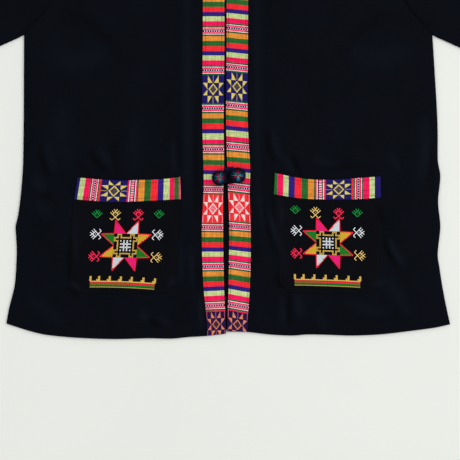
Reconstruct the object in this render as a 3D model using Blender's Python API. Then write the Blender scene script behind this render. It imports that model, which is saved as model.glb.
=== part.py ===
"""Front-opening jacket of black cotton, laid flat on a table with its front up.

The back lies on the table, the two fronts lie on the back and each sleeve is a flat tube beside them.
Striped woven bands run up the front edges and across the pocket mouths, and two thread-covered
buttons are held together by a loop.

Frame: +X to the viewer's right, +Y from hem to neck, +Z up from the table. The origin is on the table
in the middle of the jacket's footprint. Sides are the wearer's, so "right" is at -X.
All sizes below are in millimetres and MM turns them into metres.
"""

import math
from collections import namedtuple

import bmesh
import bpy
from mathutils import Vector
from mathutils.geometry import delaunay_2d_cdt

MM = 0.001

# Cloth and seams
CLOTH = 1.2                 # wall of the black cloth
BAND = 1.0                  # wall of the woven bands
POCKET = 1.0                # wall of the patch pockets
GAP = 0.3                   # between two pieces that lie on each other
SEAM_GAP = 0.4              # between the body and a sleeve, along the armhole
MAX_LIFT = 3.1              # most that a fold lifts the upper layer

# Body
BODY_LENGTH = 640.0         # lowest hem to the highest shoulder point
TOP = BODY_LENGTH / 2
NECK_HALF_WIDTH = 78.0
BACK_NECK_DROP = 22.0
SHOULDER_TIP = (225.0, 283.0)
UNDERARM = (265.0, 75.0)

# Sleeve, both alike
SLEEVE_LENGTH = 540.0       # along the fold from shoulder to cuff
SLEEVE_ANGLE = 27.0         # degrees below level
CUFF_WIDTH = 145.0
SLEEVE_COLUMNS = 10
SLEEVE_ROWS = 16

# Outlines are smooth lines through a few points, cut into steps of about this length
OUTLINE_STEP = 22.0
GRID_STEP = 27.0            # spacing of the points inside a front
CLEAR_OF_LINES = 9.0        # no grid point is nearer than this to an outline or a fold
BEYOND = 12.0               # how far a cutting shape runs past the cloth's edge
SAME_POINT = 0.02           # points nearer than this are one

# Buttons and their loop
BUTTON_HEIGHT = 8.4
BUTTON_SHANK_RADIUS = 3.2
BUTTON_SHANK_HEIGHT = 2.7
BUTTON_SEGMENTS = 20
LOOP_CORD_RADIUS = 1.0
LOOP_SLACK = 0.5
LOOP_ARC_STEPS = 10
LOOP_SIDES = 8

Point = namedtuple("Point", "x y")
Fold = namedtuple("Fold", "x0 y0 x1 y1 half_width height")
Button = namedtuple("Button", "x y radius")

# Side seam, from the hem's corner up to the underarm
SIDE_SEAM = {
    "right": [
        Point(-288, -300), Point(-284, -278), Point(-277.5, -252), Point(-275.2, -226),
        Point(-274.6, -200), Point(-276, -174), Point(-273, -161), Point(-269.5, -135),
        Point(-266.5, -96), Point(-265.5, -33), Point(-UNDERARM[0], UNDERARM[1]),
    ],
    "left": [
        Point(288, -301), Point(283, -278), Point(278, -252), Point(274, -226),
        Point(272, -213), Point(272.7, -200), Point(275.3, -174), Point(272.7, -148),
        Point(272.7, -135), Point(275.3, -109), Point(272.1, -88), Point(271.4, -33),
        Point(UNDERARM[0], UNDERARM[1]),
    ],
}

# Hem of each front, from the side seam to the front edge
FRONT_HEM = {
    "right": [
        Point(-288, -300), Point(-260, -309), Point(-239.5, -314), Point(-208, -317.5),
        Point(-167, -319.7), Point(-136, -TOP), Point(-104, -319), Point(-73, -319.5),
        Point(-52, -317.5), Point(-28, -316), Point(-2.9, -313),
    ],
    "left": [
        Point(288, -301), Point(270, -305), Point(228.5, -310.5), Point(197, -314),
        Point(161, -315.5), Point(135, -314.7), Point(104, -314), Point(83, -315.5),
        Point(52, -314), Point(26, -311), Point(-2.1, -310.3),
    ],
}

# Hem of the back, a little shorter than the fronts that cover it
BACK_HEM = [
    Point(-288, -300), Point(-260, -307), Point(-208, -314), Point(-136, -316.5),
    Point(-52, -314), Point(0, -308), Point(52, -310.5), Point(135, -311.5),
    Point(197, -311), Point(249, -305), Point(288, -301),
]

# Front edge, from the hem up to the neck
FRONT_EDGE = {
    "right": [
        Point(-2.9, -313), Point(-3.5, -284), Point(-4.6, -263), Point(-5.5, -232),
        Point(-6, -195), Point(-6.1, -168), Point(-5.9, -130), Point(-4.9, -98),
        Point(-5.5, -33), Point(-4.5, 60), Point(-4.5, 160), Point(-4, 248),
    ],
    "left": [
        Point(-2.1, -310.3), Point(-1.3, -284), Point(-0.3, -263), Point(0.3, -232),
        Point(0.8, -195), Point(0.7, -168), Point(-0.7, -130), Point(-1.7, -99),
        Point(-3.2, -33), Point(-2.6, 60), Point(-2.4, 160), Point(-2, 248),
    ],
}

# Outer edge of each front band, over the same length
BAND_EDGE = {
    "right": [
        Point(-27.4, -316), Point(-29.3, -284), Point(-31.6, -263), Point(-33.5, -232),
        Point(-34.6, -195), Point(-34.5, -168), Point(-32.5, -130), Point(-32.5, -98),
        Point(-34.1, -33), Point(-33.5, 60), Point(-33, 160), Point(-32.5, 250),
    ],
    "left": [
        Point(25, -311.5), Point(26.5, -284), Point(27.8, -263), Point(29.3, -232),
        Point(29.6, -195), Point(29.4, -168), Point(28.3, -130), Point(28.9, -98),
        Point(25.6, -33), Point(26, 60), Point(26.3, 160), Point(26.5, 250),
    ],
}

# Front neckline, from the front edge up to the shoulder point
NECKLINE = {
    "right": [
        Point(-4, 248), Point(-30, 251), Point(-56, 267), Point(-73, 292),
        Point(-NECK_HALF_WIDTH, TOP),
    ],
    "left": [
        Point(-2, 248), Point(30, 251), Point(56, 267), Point(73, 292),
        Point(NECK_HALF_WIDTH, TOP),
    ],
}

# Armhole at +X, from the shoulder tip down to the underarm
ARMHOLE = [
    Point(*SHOULDER_TIP), Point(214, 235), Point(212, 180), Point(226, 122), Point(*UNDERARM),
]

# Patch pocket: its mouth sags a little, and its lower corners are cut off
POCKET_MOUTH = {
    "right": [
        Point(-195.4, -110.1), Point(-149, -113.6), Point(-121, -113.4), Point(-88.7, -112.3),
        Point(-62, -109.5),
    ],
    "left": [
        Point(60.1, -104.1), Point(88.9, -110.1), Point(112.8, -112.8), Point(143.1, -112.5),
        Point(168.7, -110.7), Point(197.7, -108.6),
    ],
}
POCKET_REST = {
    "right": [
        Point(-61.4, -138.7), Point(-68.3, -247.9), Point(-78.3, -259.6), Point(-140, -261.2),
        Point(-192.7, -259.9), Point(-205, -247.9), Point(-200, -139.2),
    ],
    "left": [
        Point(198.6, -159.5), Point(195.4, -247.9), Point(185.6, -258.2), Point(132.3, -260.9),
        Point(76.4, -258.9), Point(66.4, -247.9), Point(63.4, -192), Point(58.6, -136),
    ],
}
# Lower edge of the woven band on the pocket's mouth
POCKET_BAND_EDGE = {
    "right": [
        Point(-203, -138.6), Point(-172, -141.4), Point(-147.2, -142.6), Point(-114.7, -141.7),
        Point(-58, -138.7),
    ],
    "left": [
        Point(54, -131.6), Point(89.4, -137.4), Point(111.8, -139), Point(143.1, -139.8),
        Point(171.3, -138.8), Point(202, -136.6),
    ],
}

# Soft folds that lift the upper layer off the lower one
FRONT_FOLDS = {
    "right": [
        Fold(-66, 60, -75, -104, 17, 2.2),
        Fold(-52, -118, -44, -296, 18, 2.4),
        Fold(-170, 20, -160, -100, 26, 2.0),
        Fold(-118, 90, -128, -98, 24, 1.9),
        Fold(-258, -96, -205, -150, 22, 2.1),
        Fold(-252, -196, -222, -286, 24, 2.2),
        Fold(-118, -276, -84, -312, 15, 1.6),
        Fold(-205, 215, -120, 110, 24, 2.6),
        Fold(-60, 235, -50, 120, 20, 2.0),
    ],
    "left": [
        Fold(52, -20, 62, -100, 16, 2.5),
        Fold(74, -52, 92, -100, 13, 2.2),
        Fold(38, -150, 50, -282, 15, 2.9),
        Fold(92, -272, 84, -308, 15, 2.3),
        Fold(214, -140, 226, -232, 16, 2.4),
        Fold(120, -72, 186, -90, 17, 2.2),
        Fold(250, -70, 242, -150, 15, 1.8),
        Fold(238, -230, 196, -286, 20, 2.0),
        Fold(205, 215, 112, 96, 24, 2.6),
        Fold(58, 235, 62, 60, 20, 2.0),
    ],
}
# Folds of the sleeve at +X, mirrored for the other
SLEEVE_FOLDS = [
    Fold(250, 150, 345, 128, 30, 2.8),
    Fold(268, 205, 400, 150, 28, 2.2),
    Fold(400, 100, 520, 20, 30, 2.6),
    Fold(480, 90, 610, 40, 26, 2.0),
    Fold(560, -20, 655, -40, 26, 2.3),
]

BUTTONS = {
    "right": Button(-11.4, -111.2, 10.0),
    "left": Button(12.2, -108.0, 10.6),
}

# Principled BSDF: colour, roughness
COLOURS = {
    "black_cotton": ((0.010, 0.012, 0.018), 0.85),
    "pocket_cotton": ((0.012, 0.010, 0.012), 0.85),
    "woven_band": ((0.60, 0.10, 0.10), 0.75),
    "button_thread": ((0.02, 0.05, 0.09), 0.55),
    "loop_cord": ((0.008, 0.008, 0.012), 0.70),
}


def material(name):
    """The named cloth or thread, made once."""
    found = bpy.data.materials.get(name)
    if found:
        return found
    colour, roughness = COLOURS[name]
    made = bpy.data.materials.new(name)
    made.use_nodes = True
    shader = made.node_tree.nodes["Principled BSDF"]
    shader.inputs["Base Color"].default_value = (*colour, 1.0)
    shader.inputs["Roughness"].default_value = roughness
    return made


def add_object(name, mesh, material_name):
    """Links a mesh as a named sub-part with its material."""
    mesh.materials.append(material(material_name))
    mesh.shade_smooth()
    mesh.set_sharp_from_angle(angle=math.radians(40))
    made = bpy.data.objects.new(name, mesh)
    bpy.context.scene.collection.objects.link(made)
    return made


def smooth_line(points, step=OUTLINE_STEP):
    """A Catmull-Rom curve through the points, cut so that no piece is longer than step."""
    ends = [points[0], *points, points[-1]]
    line = []
    for p0, p1, p2, p3 in zip(ends, ends[1:], ends[2:], ends[3:]):
        pieces = max(1, math.ceil(math.dist(p1, p2) / step))
        for i in range(pieces):
            t = i / pieces
            line.append(Point(*(
                0.5 * (2 * b + (c - a) * t + (2 * a - 5 * b + 4 * c - d) * t**2
                       + (3 * b - a - 3 * c + d) * t**3)
                for a, b, c, d in zip(p0, p1, p2, p3)
            )))
    line.append(Point(*points[-1]))
    return line


def mirrored(points):
    return [Point(-p[0], p[1]) for p in points]


def shifted(line, distance):
    """The line moved sideways, to its left as it runs."""
    moved = []
    for i, point in enumerate(line):
        before, after = Vector(line[max(i - 1, 0)]), Vector(line[min(i + 1, len(line) - 1)])
        along = (after - before).normalized()
        moved.append(Point(point[0] - along.y * distance, point[1] + along.x * distance))
    return moved


def evenly(line, pieces):
    """The line cut again into pieces of equal length."""
    lengths = [0.0]
    for a, b in zip(line, line[1:]):
        lengths.append(lengths[-1] + math.dist(a, b))
    cut, at = [], 0
    for i in range(pieces + 1):
        wanted = lengths[-1] * i / pieces
        while at < len(line) - 2 and lengths[at + 1] < wanted:
            at += 1
        t = (wanted - lengths[at]) / (lengths[at + 1] - lengths[at])
        cut.append(Point(*Vector(line[at]).lerp(Vector(line[at + 1]), t)))
    return cut


def armhole(side):
    """The armhole from shoulder to underarm, in as many pieces as the sleeve has columns."""
    line = evenly(smooth_line(ARMHOLE), SLEEVE_COLUMNS)
    return line if side == "left" else mirrored(line)


def neckline(side):
    return smooth_line(NECKLINE[side])


def back_neckline():
    """A shallow curve from the right shoulder point to the left one."""
    low = TOP - BACK_NECK_DROP
    return smooth_line([
        Point(-NECK_HALF_WIDTH, TOP), Point(-50, low + 4), Point(0, low),
        Point(50, low + 4), Point(NECK_HALF_WIDTH, TOP),
    ])


def joined(*lines):
    """One closed outline, counterclockwise, from lines that run on from each other."""
    outline = []
    for line in lines:
        for point in line:
            if not outline or math.dist(point, outline[-1]) > SAME_POINT:
                outline.append(point)
    if math.dist(outline[0], outline[-1]) < SAME_POINT:
        outline.pop()
    twice_area = sum(a[0] * b[1] - b[0] * a[1] for a, b in zip(outline, outline[1:] + outline[:1]))
    return outline if twice_area > 0 else outline[::-1]


def front_outline(side):
    return joined(
        smooth_line(FRONT_HEM[side]),
        smooth_line(FRONT_EDGE[side]),
        neckline(side),
        armhole(side),
        smooth_line(SIDE_SEAM[side])[::-1],
    )


def back_outline():
    return joined(
        smooth_line(BACK_HEM),
        smooth_line(SIDE_SEAM["left"]),
        armhole("left")[::-1],
        back_neckline()[::-1],
        armhole("right"),
        smooth_line(SIDE_SEAM["right"])[::-1],
    )


def band_shape(side):
    """A strip over the front edge that runs past hem and neck, to be cut to the front."""
    inward = 1 if side == "right" else -1
    outer = smooth_line(BAND_EDGE[side])
    inner = [Point(p.x + inward * BEYOND, p.y) for p in smooth_line(FRONT_EDGE[side])]
    below = [Point(outer[0].x, outer[0].y - BEYOND), Point(inner[0].x, outer[0].y - BEYOND)]
    above = [Point(inner[-1].x, inner[-1].y + BEYOND), Point(outer[-1].x, outer[-1].y + BEYOND)]
    return joined(below[:1], outer, above[::-1], inner[::-1], below[1:])


def pocket_shape(side):
    return joined(smooth_line(POCKET_MOUTH[side]), POCKET_REST[side])


def pocket_band_shape(side):
    lower = smooth_line(POCKET_BAND_EDGE[side])
    upper = [Point(p.x, p.y + BEYOND * 3) for p in lower]
    return joined(lower, upper[::-1])


def fold_points(folds):
    """Points on each fold's crest and feet, so that the wall follows it."""
    points = []
    for fold in folds:
        start, end = Vector((fold.x0, fold.y0)), Vector((fold.x1, fold.y1))
        along = (end - start).normalized()
        across = Vector((-along.y, along.x)) * fold.half_width
        pieces = max(2, round((end - start).length / GRID_STEP))
        for i in range(pieces + 1):
            middle = start.lerp(end, i / pieces)
            offsets = (-1, 0, 1) if 0 < i < pieces else (0,)
            points += [Point(*(middle + across * side)) for side in offsets]
    return points


def distance_to_line(point, line):
    """Distance from a point to a closed outline."""
    best = math.inf
    here = Vector(point)
    for a, b in zip(line, [*line[1:], line[0]]):
        a, b = Vector(a), Vector(b)
        run = b - a
        t = max(0.0, min(1.0, (here - a).dot(run) / max(run.length_squared, 1e-9)))
        best = min(best, (a + run * t - here).length)
    return best


def inside(point, outline):
    """Even-odd test of a point in a closed outline."""
    odd = False
    for a, b in zip(outline, [*outline[1:], outline[0]]):
        if (a[1] > point[1]) != (b[1] > point[1]):
            if point[0] < a[0] + (point[1] - a[1]) / (b[1] - a[1]) * (b[0] - a[0]):
                odd = not odd
    return odd


def inner_points(outline, shapes, folds):
    """Fold points, then an offset grid that keeps clear of every line and fold."""
    kept = []
    candidates = fold_points(folds)
    xs, ys = [p[0] for p in outline], [p[1] for p in outline]
    row = 0
    y = min(ys)
    while y < max(ys):
        x = min(xs) + (GRID_STEP / 2 if row % 2 else 0)
        while x < max(xs):
            candidates.append(Point(x, y))
            x += GRID_STEP
        y += GRID_STEP * math.sqrt(3) / 2
        row += 1
    for point in candidates:
        if not inside(point, outline):
            continue
        if min(distance_to_line(point, line) for line in [outline, *shapes]) < CLEAR_OF_LINES:
            continue
        if any(math.dist(point, other) < CLEAR_OF_LINES for other in kept):
            continue
        kept.append(point)
    return kept


def cut_sheet(outlines, free_points):
    """Cuts overlapping outlines into triangles. Returns the points and, for each triangle,
    its corners and the set of outlines that it lies in."""
    points, faces = [], []
    for outline in outlines:
        faces.append(list(range(len(points), len(points) + len(outline))))
        points += [Vector(p) for p in outline]
    points += [Vector(p) for p in free_points]
    verts, _, triangles, _, _, owners = delaunay_2d_cdt(points, [], faces, 1, SAME_POINT)
    return [Point(*v) for v in verts], [(tri, set(own)) for tri, own in zip(triangles, owners)]


def wall(name, points, triangles, underside, thickness, material_name):
    """A closed wall on the triangles: its lower face at underside(point), its upper one above."""
    used = sorted({i for tri in triangles for i in tri})
    number = {old: new for new, old in enumerate(used)}
    count = len(used)
    low = [(points[i].x * MM, points[i].y * MM, underside(points[i]) * MM) for i in used]
    high = [(x, y, z + thickness * MM) for x, y, z in low]
    faces, edges = [], {}
    for tri in triangles:
        a, b, c = (number[i] for i in tri)
        faces.append((a + count, b + count, c + count))
        faces.append((c, b, a))
        for edge in ((a, b), (b, c), (c, a)):
            edges[edge] = True
    for a, b in edges:
        if (b, a) not in edges:
            faces.append((a, b, b + count, a + count))
    mesh = bpy.data.meshes.new(name)
    mesh.from_pydata(low + high, [], faces)
    mesh.update()
    return add_object(name, mesh, material_name)


def fold_lift(folds, point):
    """How far the folds lift the cloth at a point: a cosine across, a sine along."""
    lift = 0.0
    here = Vector(point[:2])
    for fold in folds:
        start = Vector((fold.x0, fold.y0))
        run = Vector((fold.x1, fold.y1)) - start
        t = (here - start).dot(run) / run.length_squared
        if not 0 < t < 1:
            continue
        distance = (start + run * t - here).length
        if distance < fold.half_width:
            across = 0.5 * (1 + math.cos(math.pi * distance / fold.half_width))
            lift += fold.height * across * math.sin(math.pi * t) ** 0.7
    return min(lift, MAX_LIFT)


def front_underside(side):
    """Height of a front's lower face: on the back, and lifted by its folds."""
    folds = FRONT_FOLDS[side]
    return lambda point: CLOTH + GAP + fold_lift(folds, point)


def make_front(side):
    """A front and what is sewn on it, all on the same points."""
    outline = front_outline(side)
    shapes = {
        "band": band_shape(side),
        "pocket": pocket_shape(side),
        "pocket_band": pocket_band_shape(side),
    }
    in_shape = {name: i + 1 for i, name in enumerate(shapes)}
    free = inner_points(outline, list(shapes.values()), FRONT_FOLDS[side])
    points, triangles = cut_sheet([outline, *shapes.values()], free)
    underside = front_underside(side)

    def add_piece(name, within, layers_below, thickness, material_name):
        """A wall on the triangles inside all the named shapes, above the layers below it."""
        wanted = {0, *(in_shape[shape] for shape in within)}
        lift = sum(layer + GAP for layer in layers_below)
        wall(f"{name}_{side}", points, [tri for tri, own in triangles if wanted <= own],
             lambda point: underside(point) + lift, thickness, material_name)

    add_piece("front", [], [], CLOTH, "black_cotton")
    add_piece("front_band", ["band"], [CLOTH], BAND, "woven_band")
    add_piece("pocket", ["pocket"], [CLOTH], POCKET, "pocket_cotton")
    add_piece("pocket_band", ["pocket", "pocket_band"], [CLOTH, POCKET], BAND, "woven_band")


def make_back():
    """The back lies flat on the table."""
    points, triangles = cut_sheet([back_outline()], [])
    wall("back", points, [tri for tri, own in triangles], lambda point: 0.0, CLOTH, "black_cotton")


def sleeve_plan():
    """Plan of the sleeve at +X: points from the folded edge to the seam, row by row."""
    slope = math.radians(SLEEVE_ANGLE)
    cuff_top = Vector(SHOULDER_TIP) + Vector((math.cos(slope), -math.sin(slope))) * SLEEVE_LENGTH
    cuff_across = Vector((-math.sin(slope), -math.cos(slope))) * CUFF_WIDTH
    seam = shifted(armhole("left"), SEAM_GAP)
    rows = []
    for row in range(SLEEVE_ROWS + 1):
        v = row / SLEEVE_ROWS
        points = []
        for column in range(SLEEVE_COLUMNS + 1):
            u = column / SLEEVE_COLUMNS
            at_cuff = cuff_top + cuff_across * u
            points.append(Vector(seam[column]).lerp(at_cuff, v))
        rows.append(points)
    return rows


def sleeve_ring(plan, outer):
    """One closed section of the flat tube: under layer, rounded seam, upper layer, rounded fold."""
    under, upper = (0.0, CLOTH * 2 + GAP) if outer else (CLOTH, CLOTH + GAP)
    middle = CLOTH + GAP / 2
    reach = middle if outer else GAP / 2
    across = (plan[-1] - plan[0]).normalized()
    ring = [(p.x, p.y, under) for p in plan]
    tip = plan[-1] + across * reach
    ring.append((tip.x, tip.y, middle))
    ring += [(p.x, p.y, upper + fold_lift(SLEEVE_FOLDS, p)) for p in reversed(plan)]
    tip = plan[0] - across * reach
    ring.append((tip.x, tip.y, middle))
    return ring


def make_sleeve(side):
    """A flat open tube from the armhole to the cuff."""
    rows = sleeve_plan()
    loops = [sleeve_ring(row, outer=True) for row in rows]
    loops += [sleeve_ring(row, outer=False) for row in rows]
    size = len(loops[0])
    hand = 1 if side == "left" else -1
    verts = [(hand * x * MM, y * MM, z * MM) for loop in loops for x, y, z in loop]
    inner_start = len(rows) * size
    faces = []
    for i in range(size):
        j = (i + 1) % size
        for row in range(SLEEVE_ROWS):
            near, far = row * size, (row + 1) * size
            faces.append((near + i, near + j, far + j, far + i))
            near, far = near + inner_start, far + inner_start
            faces.append((far + i, far + j, near + j, near + i))
        last = SLEEVE_ROWS * size
        faces.append((inner_start + i, inner_start + j, j, i))
        faces.append((last + i, last + j, inner_start + last + j, inner_start + last + i))
    mesh = bpy.data.meshes.new(f"sleeve_{side}")
    mesh.from_pydata(verts, [], faces)
    face_outwards(mesh)
    return add_object(f"sleeve_{side}", mesh, "black_cotton")


def face_outwards(mesh):
    """Turns the faces of a closed mesh outwards and splits them into triangles."""
    shape = bmesh.new()
    shape.from_mesh(mesh)
    bmesh.ops.triangulate(shape, faces=shape.faces)
    bmesh.ops.recalc_face_normals(shape, faces=shape.faces)
    shape.to_mesh(mesh)
    shape.free()
    mesh.update()


def band_top():
    """Height of a front band's upper face where no fold lifts it."""
    return CLOTH + GAP + CLOTH + GAP + BAND


def button_profile(radius):
    """Half section of a button as radius and height: shank, soft rim, domed top with a dimple."""
    rim_low = BUTTON_SHANK_HEIGHT + 0.8
    rim = (BUTTON_SHANK_HEIGHT + BUTTON_HEIGHT) / 2
    return [
        (0.0, 0.0), (BUTTON_SHANK_RADIUS, 0.0), (BUTTON_SHANK_RADIUS, BUTTON_SHANK_HEIGHT),
        (radius * 0.82, rim_low), (radius * 0.97, rim - 0.6), (radius, rim + 0.5),
        (radius * 0.90, BUTTON_HEIGHT - 1.2), (radius * 0.62, BUTTON_HEIGHT - 0.2),
        (radius * 0.30, BUTTON_HEIGHT), (0.0, BUTTON_HEIGHT - 0.8),
    ]


def make_button(side):
    """A turned solid that stands on its front band."""
    spot = BUTTONS[side]
    base = band_top() + GAP
    shape = bmesh.new()
    profile = [shape.verts.new((r * MM, 0.0, z * MM)) for r, z in button_profile(spot.radius)]
    edges = [shape.edges.new(pair) for pair in zip(profile, profile[1:])]
    bmesh.ops.spin(shape, geom=profile + edges, axis=(0, 0, 1), cent=(0, 0, 0),
                   angle=math.tau, steps=BUTTON_SEGMENTS, use_merge=True, use_duplicate=False)
    bmesh.ops.remove_doubles(shape, verts=shape.verts, dist=0.00002)
    bmesh.ops.recalc_face_normals(shape, faces=shape.faces)
    mesh = bpy.data.meshes.new(f"button_{side}")
    shape.to_mesh(mesh)
    shape.free()
    made = add_object(f"button_{side}", mesh, "button_thread")
    made.location = (spot.x * MM, spot.y * MM, base * MM)


def make_button_loop():
    """A closed cord that goes round both shanks, under the buttons."""
    ends = [Vector((spot.x, spot.y)) for spot in BUTTONS.values()]
    along = (ends[1] - ends[0]).normalized()
    start_angle = math.atan2(along.y, along.x) + math.pi / 2
    reach = BUTTON_SHANK_RADIUS + GAP + LOOP_SLACK + LOOP_CORD_RADIUS
    height = band_top() + GAP + LOOP_CORD_RADIUS
    path = []
    for half, centre in enumerate(ends):
        for i in range(LOOP_ARC_STEPS + 1):
            angle = start_angle + math.pi * (half + i / LOOP_ARC_STEPS)
            path.append(centre + Vector((math.cos(angle), math.sin(angle))) * reach)
    verts, faces = [], []
    for i, here in enumerate(path):
        run = (path[(i + 1) % len(path)] - path[i - 1]).normalized()
        side = Vector((run.y, -run.x))
        for k in range(LOOP_SIDES):
            turn = math.tau * k / LOOP_SIDES
            spot = here + side * math.cos(turn) * LOOP_CORD_RADIUS
            verts.append((spot.x * MM, spot.y * MM,
                          (height + math.sin(turn) * LOOP_CORD_RADIUS) * MM))
    for i in range(len(path)):
        near, far = i * LOOP_SIDES, (i + 1) % len(path) * LOOP_SIDES
        for k in range(LOOP_SIDES):
            j = (k + 1) % LOOP_SIDES
            faces.append((near + k, near + j, far + j, far + k))
    mesh = bpy.data.meshes.new("button_loop")
    mesh.from_pydata(verts, [], faces)
    face_outwards(mesh)
    add_object("button_loop", mesh, "loop_cord")


def main():
    for old in list(bpy.data.objects):
        bpy.data.objects.remove(old)
    make_back()
    for side in ("right", "left"):
        make_front(side)
        make_sleeve(side)
        make_button(side)
    make_button_loop()


main()
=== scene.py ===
"""The looks of a black cotton jacket that lies flat: cloth, woven bands, embroidery, buttons and stitches.

Lengths are in millimetres and MM turns them into metres. Sides are the wearer's, as in the nodes' names,
so "right" is on the left in the picture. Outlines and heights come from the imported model.
"""

import math
import random
from collections import namedtuple

import bmesh
import bpy
import numpy as np
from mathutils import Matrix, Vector, noise
from mathutils.bvhtree import BVHTree
from mathutils.geometry import delaunay_2d_cdt


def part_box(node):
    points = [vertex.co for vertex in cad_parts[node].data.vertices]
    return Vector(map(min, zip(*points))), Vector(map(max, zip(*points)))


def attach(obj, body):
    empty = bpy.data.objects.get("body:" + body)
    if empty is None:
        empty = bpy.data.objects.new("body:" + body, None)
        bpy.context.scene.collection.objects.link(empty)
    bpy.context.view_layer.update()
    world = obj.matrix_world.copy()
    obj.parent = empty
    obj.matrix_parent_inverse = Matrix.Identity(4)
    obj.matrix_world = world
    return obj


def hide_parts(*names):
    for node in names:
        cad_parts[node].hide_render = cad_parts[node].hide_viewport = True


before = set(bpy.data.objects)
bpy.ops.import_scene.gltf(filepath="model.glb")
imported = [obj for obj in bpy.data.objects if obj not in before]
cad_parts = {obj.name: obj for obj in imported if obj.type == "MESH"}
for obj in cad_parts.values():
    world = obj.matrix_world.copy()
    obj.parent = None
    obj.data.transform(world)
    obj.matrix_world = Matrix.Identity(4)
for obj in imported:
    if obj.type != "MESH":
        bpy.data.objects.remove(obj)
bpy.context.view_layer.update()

MM = 0.001
SIDES = ("right", "left")

# Cloth
CLOTH_WALL = 1.0
SEWN_WALL = 0.9             # woven bands and pockets
LAYER = 1.0                 # from one upper face to that of the piece sewn on it
BACK_TOP = 1.2              # the back's upper face
GRID_PITCH = 3.0            # spacing of a surface's heights
GRID_MARGIN = 5             # steps of that grid round the piece
CLOTH_STEP = 3.4            # spacing of points on the fronts and pockets
BACK_STEP = 14.0            # the back is flat, and most of it is covered
BAND_STEP = 1.7
EDGE_STEP = 3.0             # spacing of points along an outline
EDGE_CLEARANCE = 0.6        # of loose points from the outline, as a share of their spacing
CORNER_ANGLE = math.radians(28)
ROLL_WIDTH = 1.1            # how far from its edge a piece starts to roll down
ROLL_DROP = 0.45            # how far it rolls, as a share of its wall
PRESS_WIDTH = 5.0           # the fronts are pressed onto the back along the side seam
PRESS_DEPTH = 0.42

# Hems and topstitching
HEM_WIDTH = 13.0
NECK_HEM_WIDTH = 7.0
BAND_INSET = 0.45           # the bands' edges turn under
BAND_STITCH_INSET = {"right": 3.5, "left": 2.5}
POCKET_BAND_STITCH_INSET = 3.6
POCKET_STITCH_INSET = 1.8
STITCH_PITCH = 2.6
STITCH_LENGTH = 1.9
STITCH_WIDTH = 0.42
STITCH_START = 0.4
STITCH_WANDER = 0.1         # unevenness of their pitch
HEM_STITCH_SINK = 0.15      # how deep the stitches lie in their grooves
POCKET_STITCH_SINK = 0.12
BAND_STITCH_SINK = 0.2
GROOVE_DEPTH = 0.28
POCKET_GROOVE_DEPTH = 0.2
GROOVE_WIDTH = 1.3
BAND_GROOVE_SPREAD = 0.9    # extra points lie this far from the stitches
POCKET_GROOVE_SPREAD = 1.0

# Bounds of the outlines' stretches, as places in the plan
HEM_BELOW_Y = -298
NECK_ABOVE_Y = 240
NECK_WITHIN_X = 80
SIDE_BEYOND_X = 262
SIDE_BELOW_Y = 74
ARMHOLE_BEYOND_X = 200
ARMHOLE_ABOVE_Y = 73
POCKET_MOUTH = 12           # the pocket's seam ends this far below its top
HEM_ENDS = 4                # points without stitches at each end of a hem
NECK_ENDS = 2

# Buttons
ButtonPoint = namedtuple("ButtonPoint", "mm share drop")    # from the middle, and below the top
STRANDS = 54
STRAND_SIDES = 6
STRAND_OVERLAP = 1.18       # width, as a share of their spacing
THINNEST_STRAND = 0.5
STRAND_HALF_HEIGHT = 0.36
STRAND_PATH = [
    ButtonPoint(0.8, 0, 1.9), ButtonPoint(1.6, 0, 1.1), ButtonPoint(0, 0.28, 0.62),
    ButtonPoint(0, 0.48, 0.72), ButtonPoint(0, 0.68, 1.35), ButtonPoint(0, 0.84, 2.5),
    ButtonPoint(0, 0.94, 3.7), ButtonPoint(0, 0.96, 4.7), ButtonPoint(0, 0.88, 5.4),
]
BUTTON_CORE = [
    ButtonPoint(0, 0, 1.9), ButtonPoint(3, 0, 1.0), ButtonPoint(0, 0.7, 2.0),
    ButtonPoint(0, 0.9, 3.6), ButtonPoint(0, 0.93, 4.9), ButtonPoint(0, 0.84, 5.7),
    ButtonPoint(3.2, 0, 5.8),
]
CORE_SIDES = 28
CORE_POLE = 0.02            # radius of the core's closed ends
SHANK_RADIUS = 3.2
BUTTON_DARK = "#06070d"
BUTTON_EDGE = "#080a14"
# Near the middle and half way out; wedges of teal strands and narrower ones of magenta
BUTTON_TEAL = ("#2a9a90", "#14406c")
BUTTON_MAGENTA = ("#c21c62", "#34102c")
TEAL_CLOCK = {"right": (9, 1, 5), "left": (10, 2.4, 6.1)}
TEAL_HALF_WEDGE = 1.2       # in hours
STRAND_SHADES = (0.06, 0.4, 0.9, 1.35)
STRAND_FADE = (0.1, 0.3, 0.55, 0.85)    # where the near, near, far and edge colours lie
SHADE_SEED = {"right": 5, "left": 7}
LOOP_PLY = 0.5              # radius of each of the cord's two plies
PLY_TURN = 3.6              # the cord's length for one twist
PLY_SIDES = 8
PLY_TOUCH = 0.98            # their radius, as a share, so that they just part
LOOP_POINTS = 96
HALF_TURN_STEPS = 12        # round each shank
BINDING_CORD = 0.62         # the turns that bind the loop between the buttons
BINDING_PLACES = (-3.2, -2.1, -1.0, 0.1, 1.2, 2.3, 3.4, 4.5, 5.6, 6.7)
BINDING_REACH = 5.6         # how far the turns stand out beside the cords
BINDING_RAISE = 1.4         # how far they lie towards the neck
BINDING_LIFT = 0.35         # how far they lie above the loop's middle
BINDING_HALF_HEIGHT = 1.0
BINDING_POINTS = 20
BINDING_SIDES = 6
BINDING_NAVY = "#17123c"    # their upper ends

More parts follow.
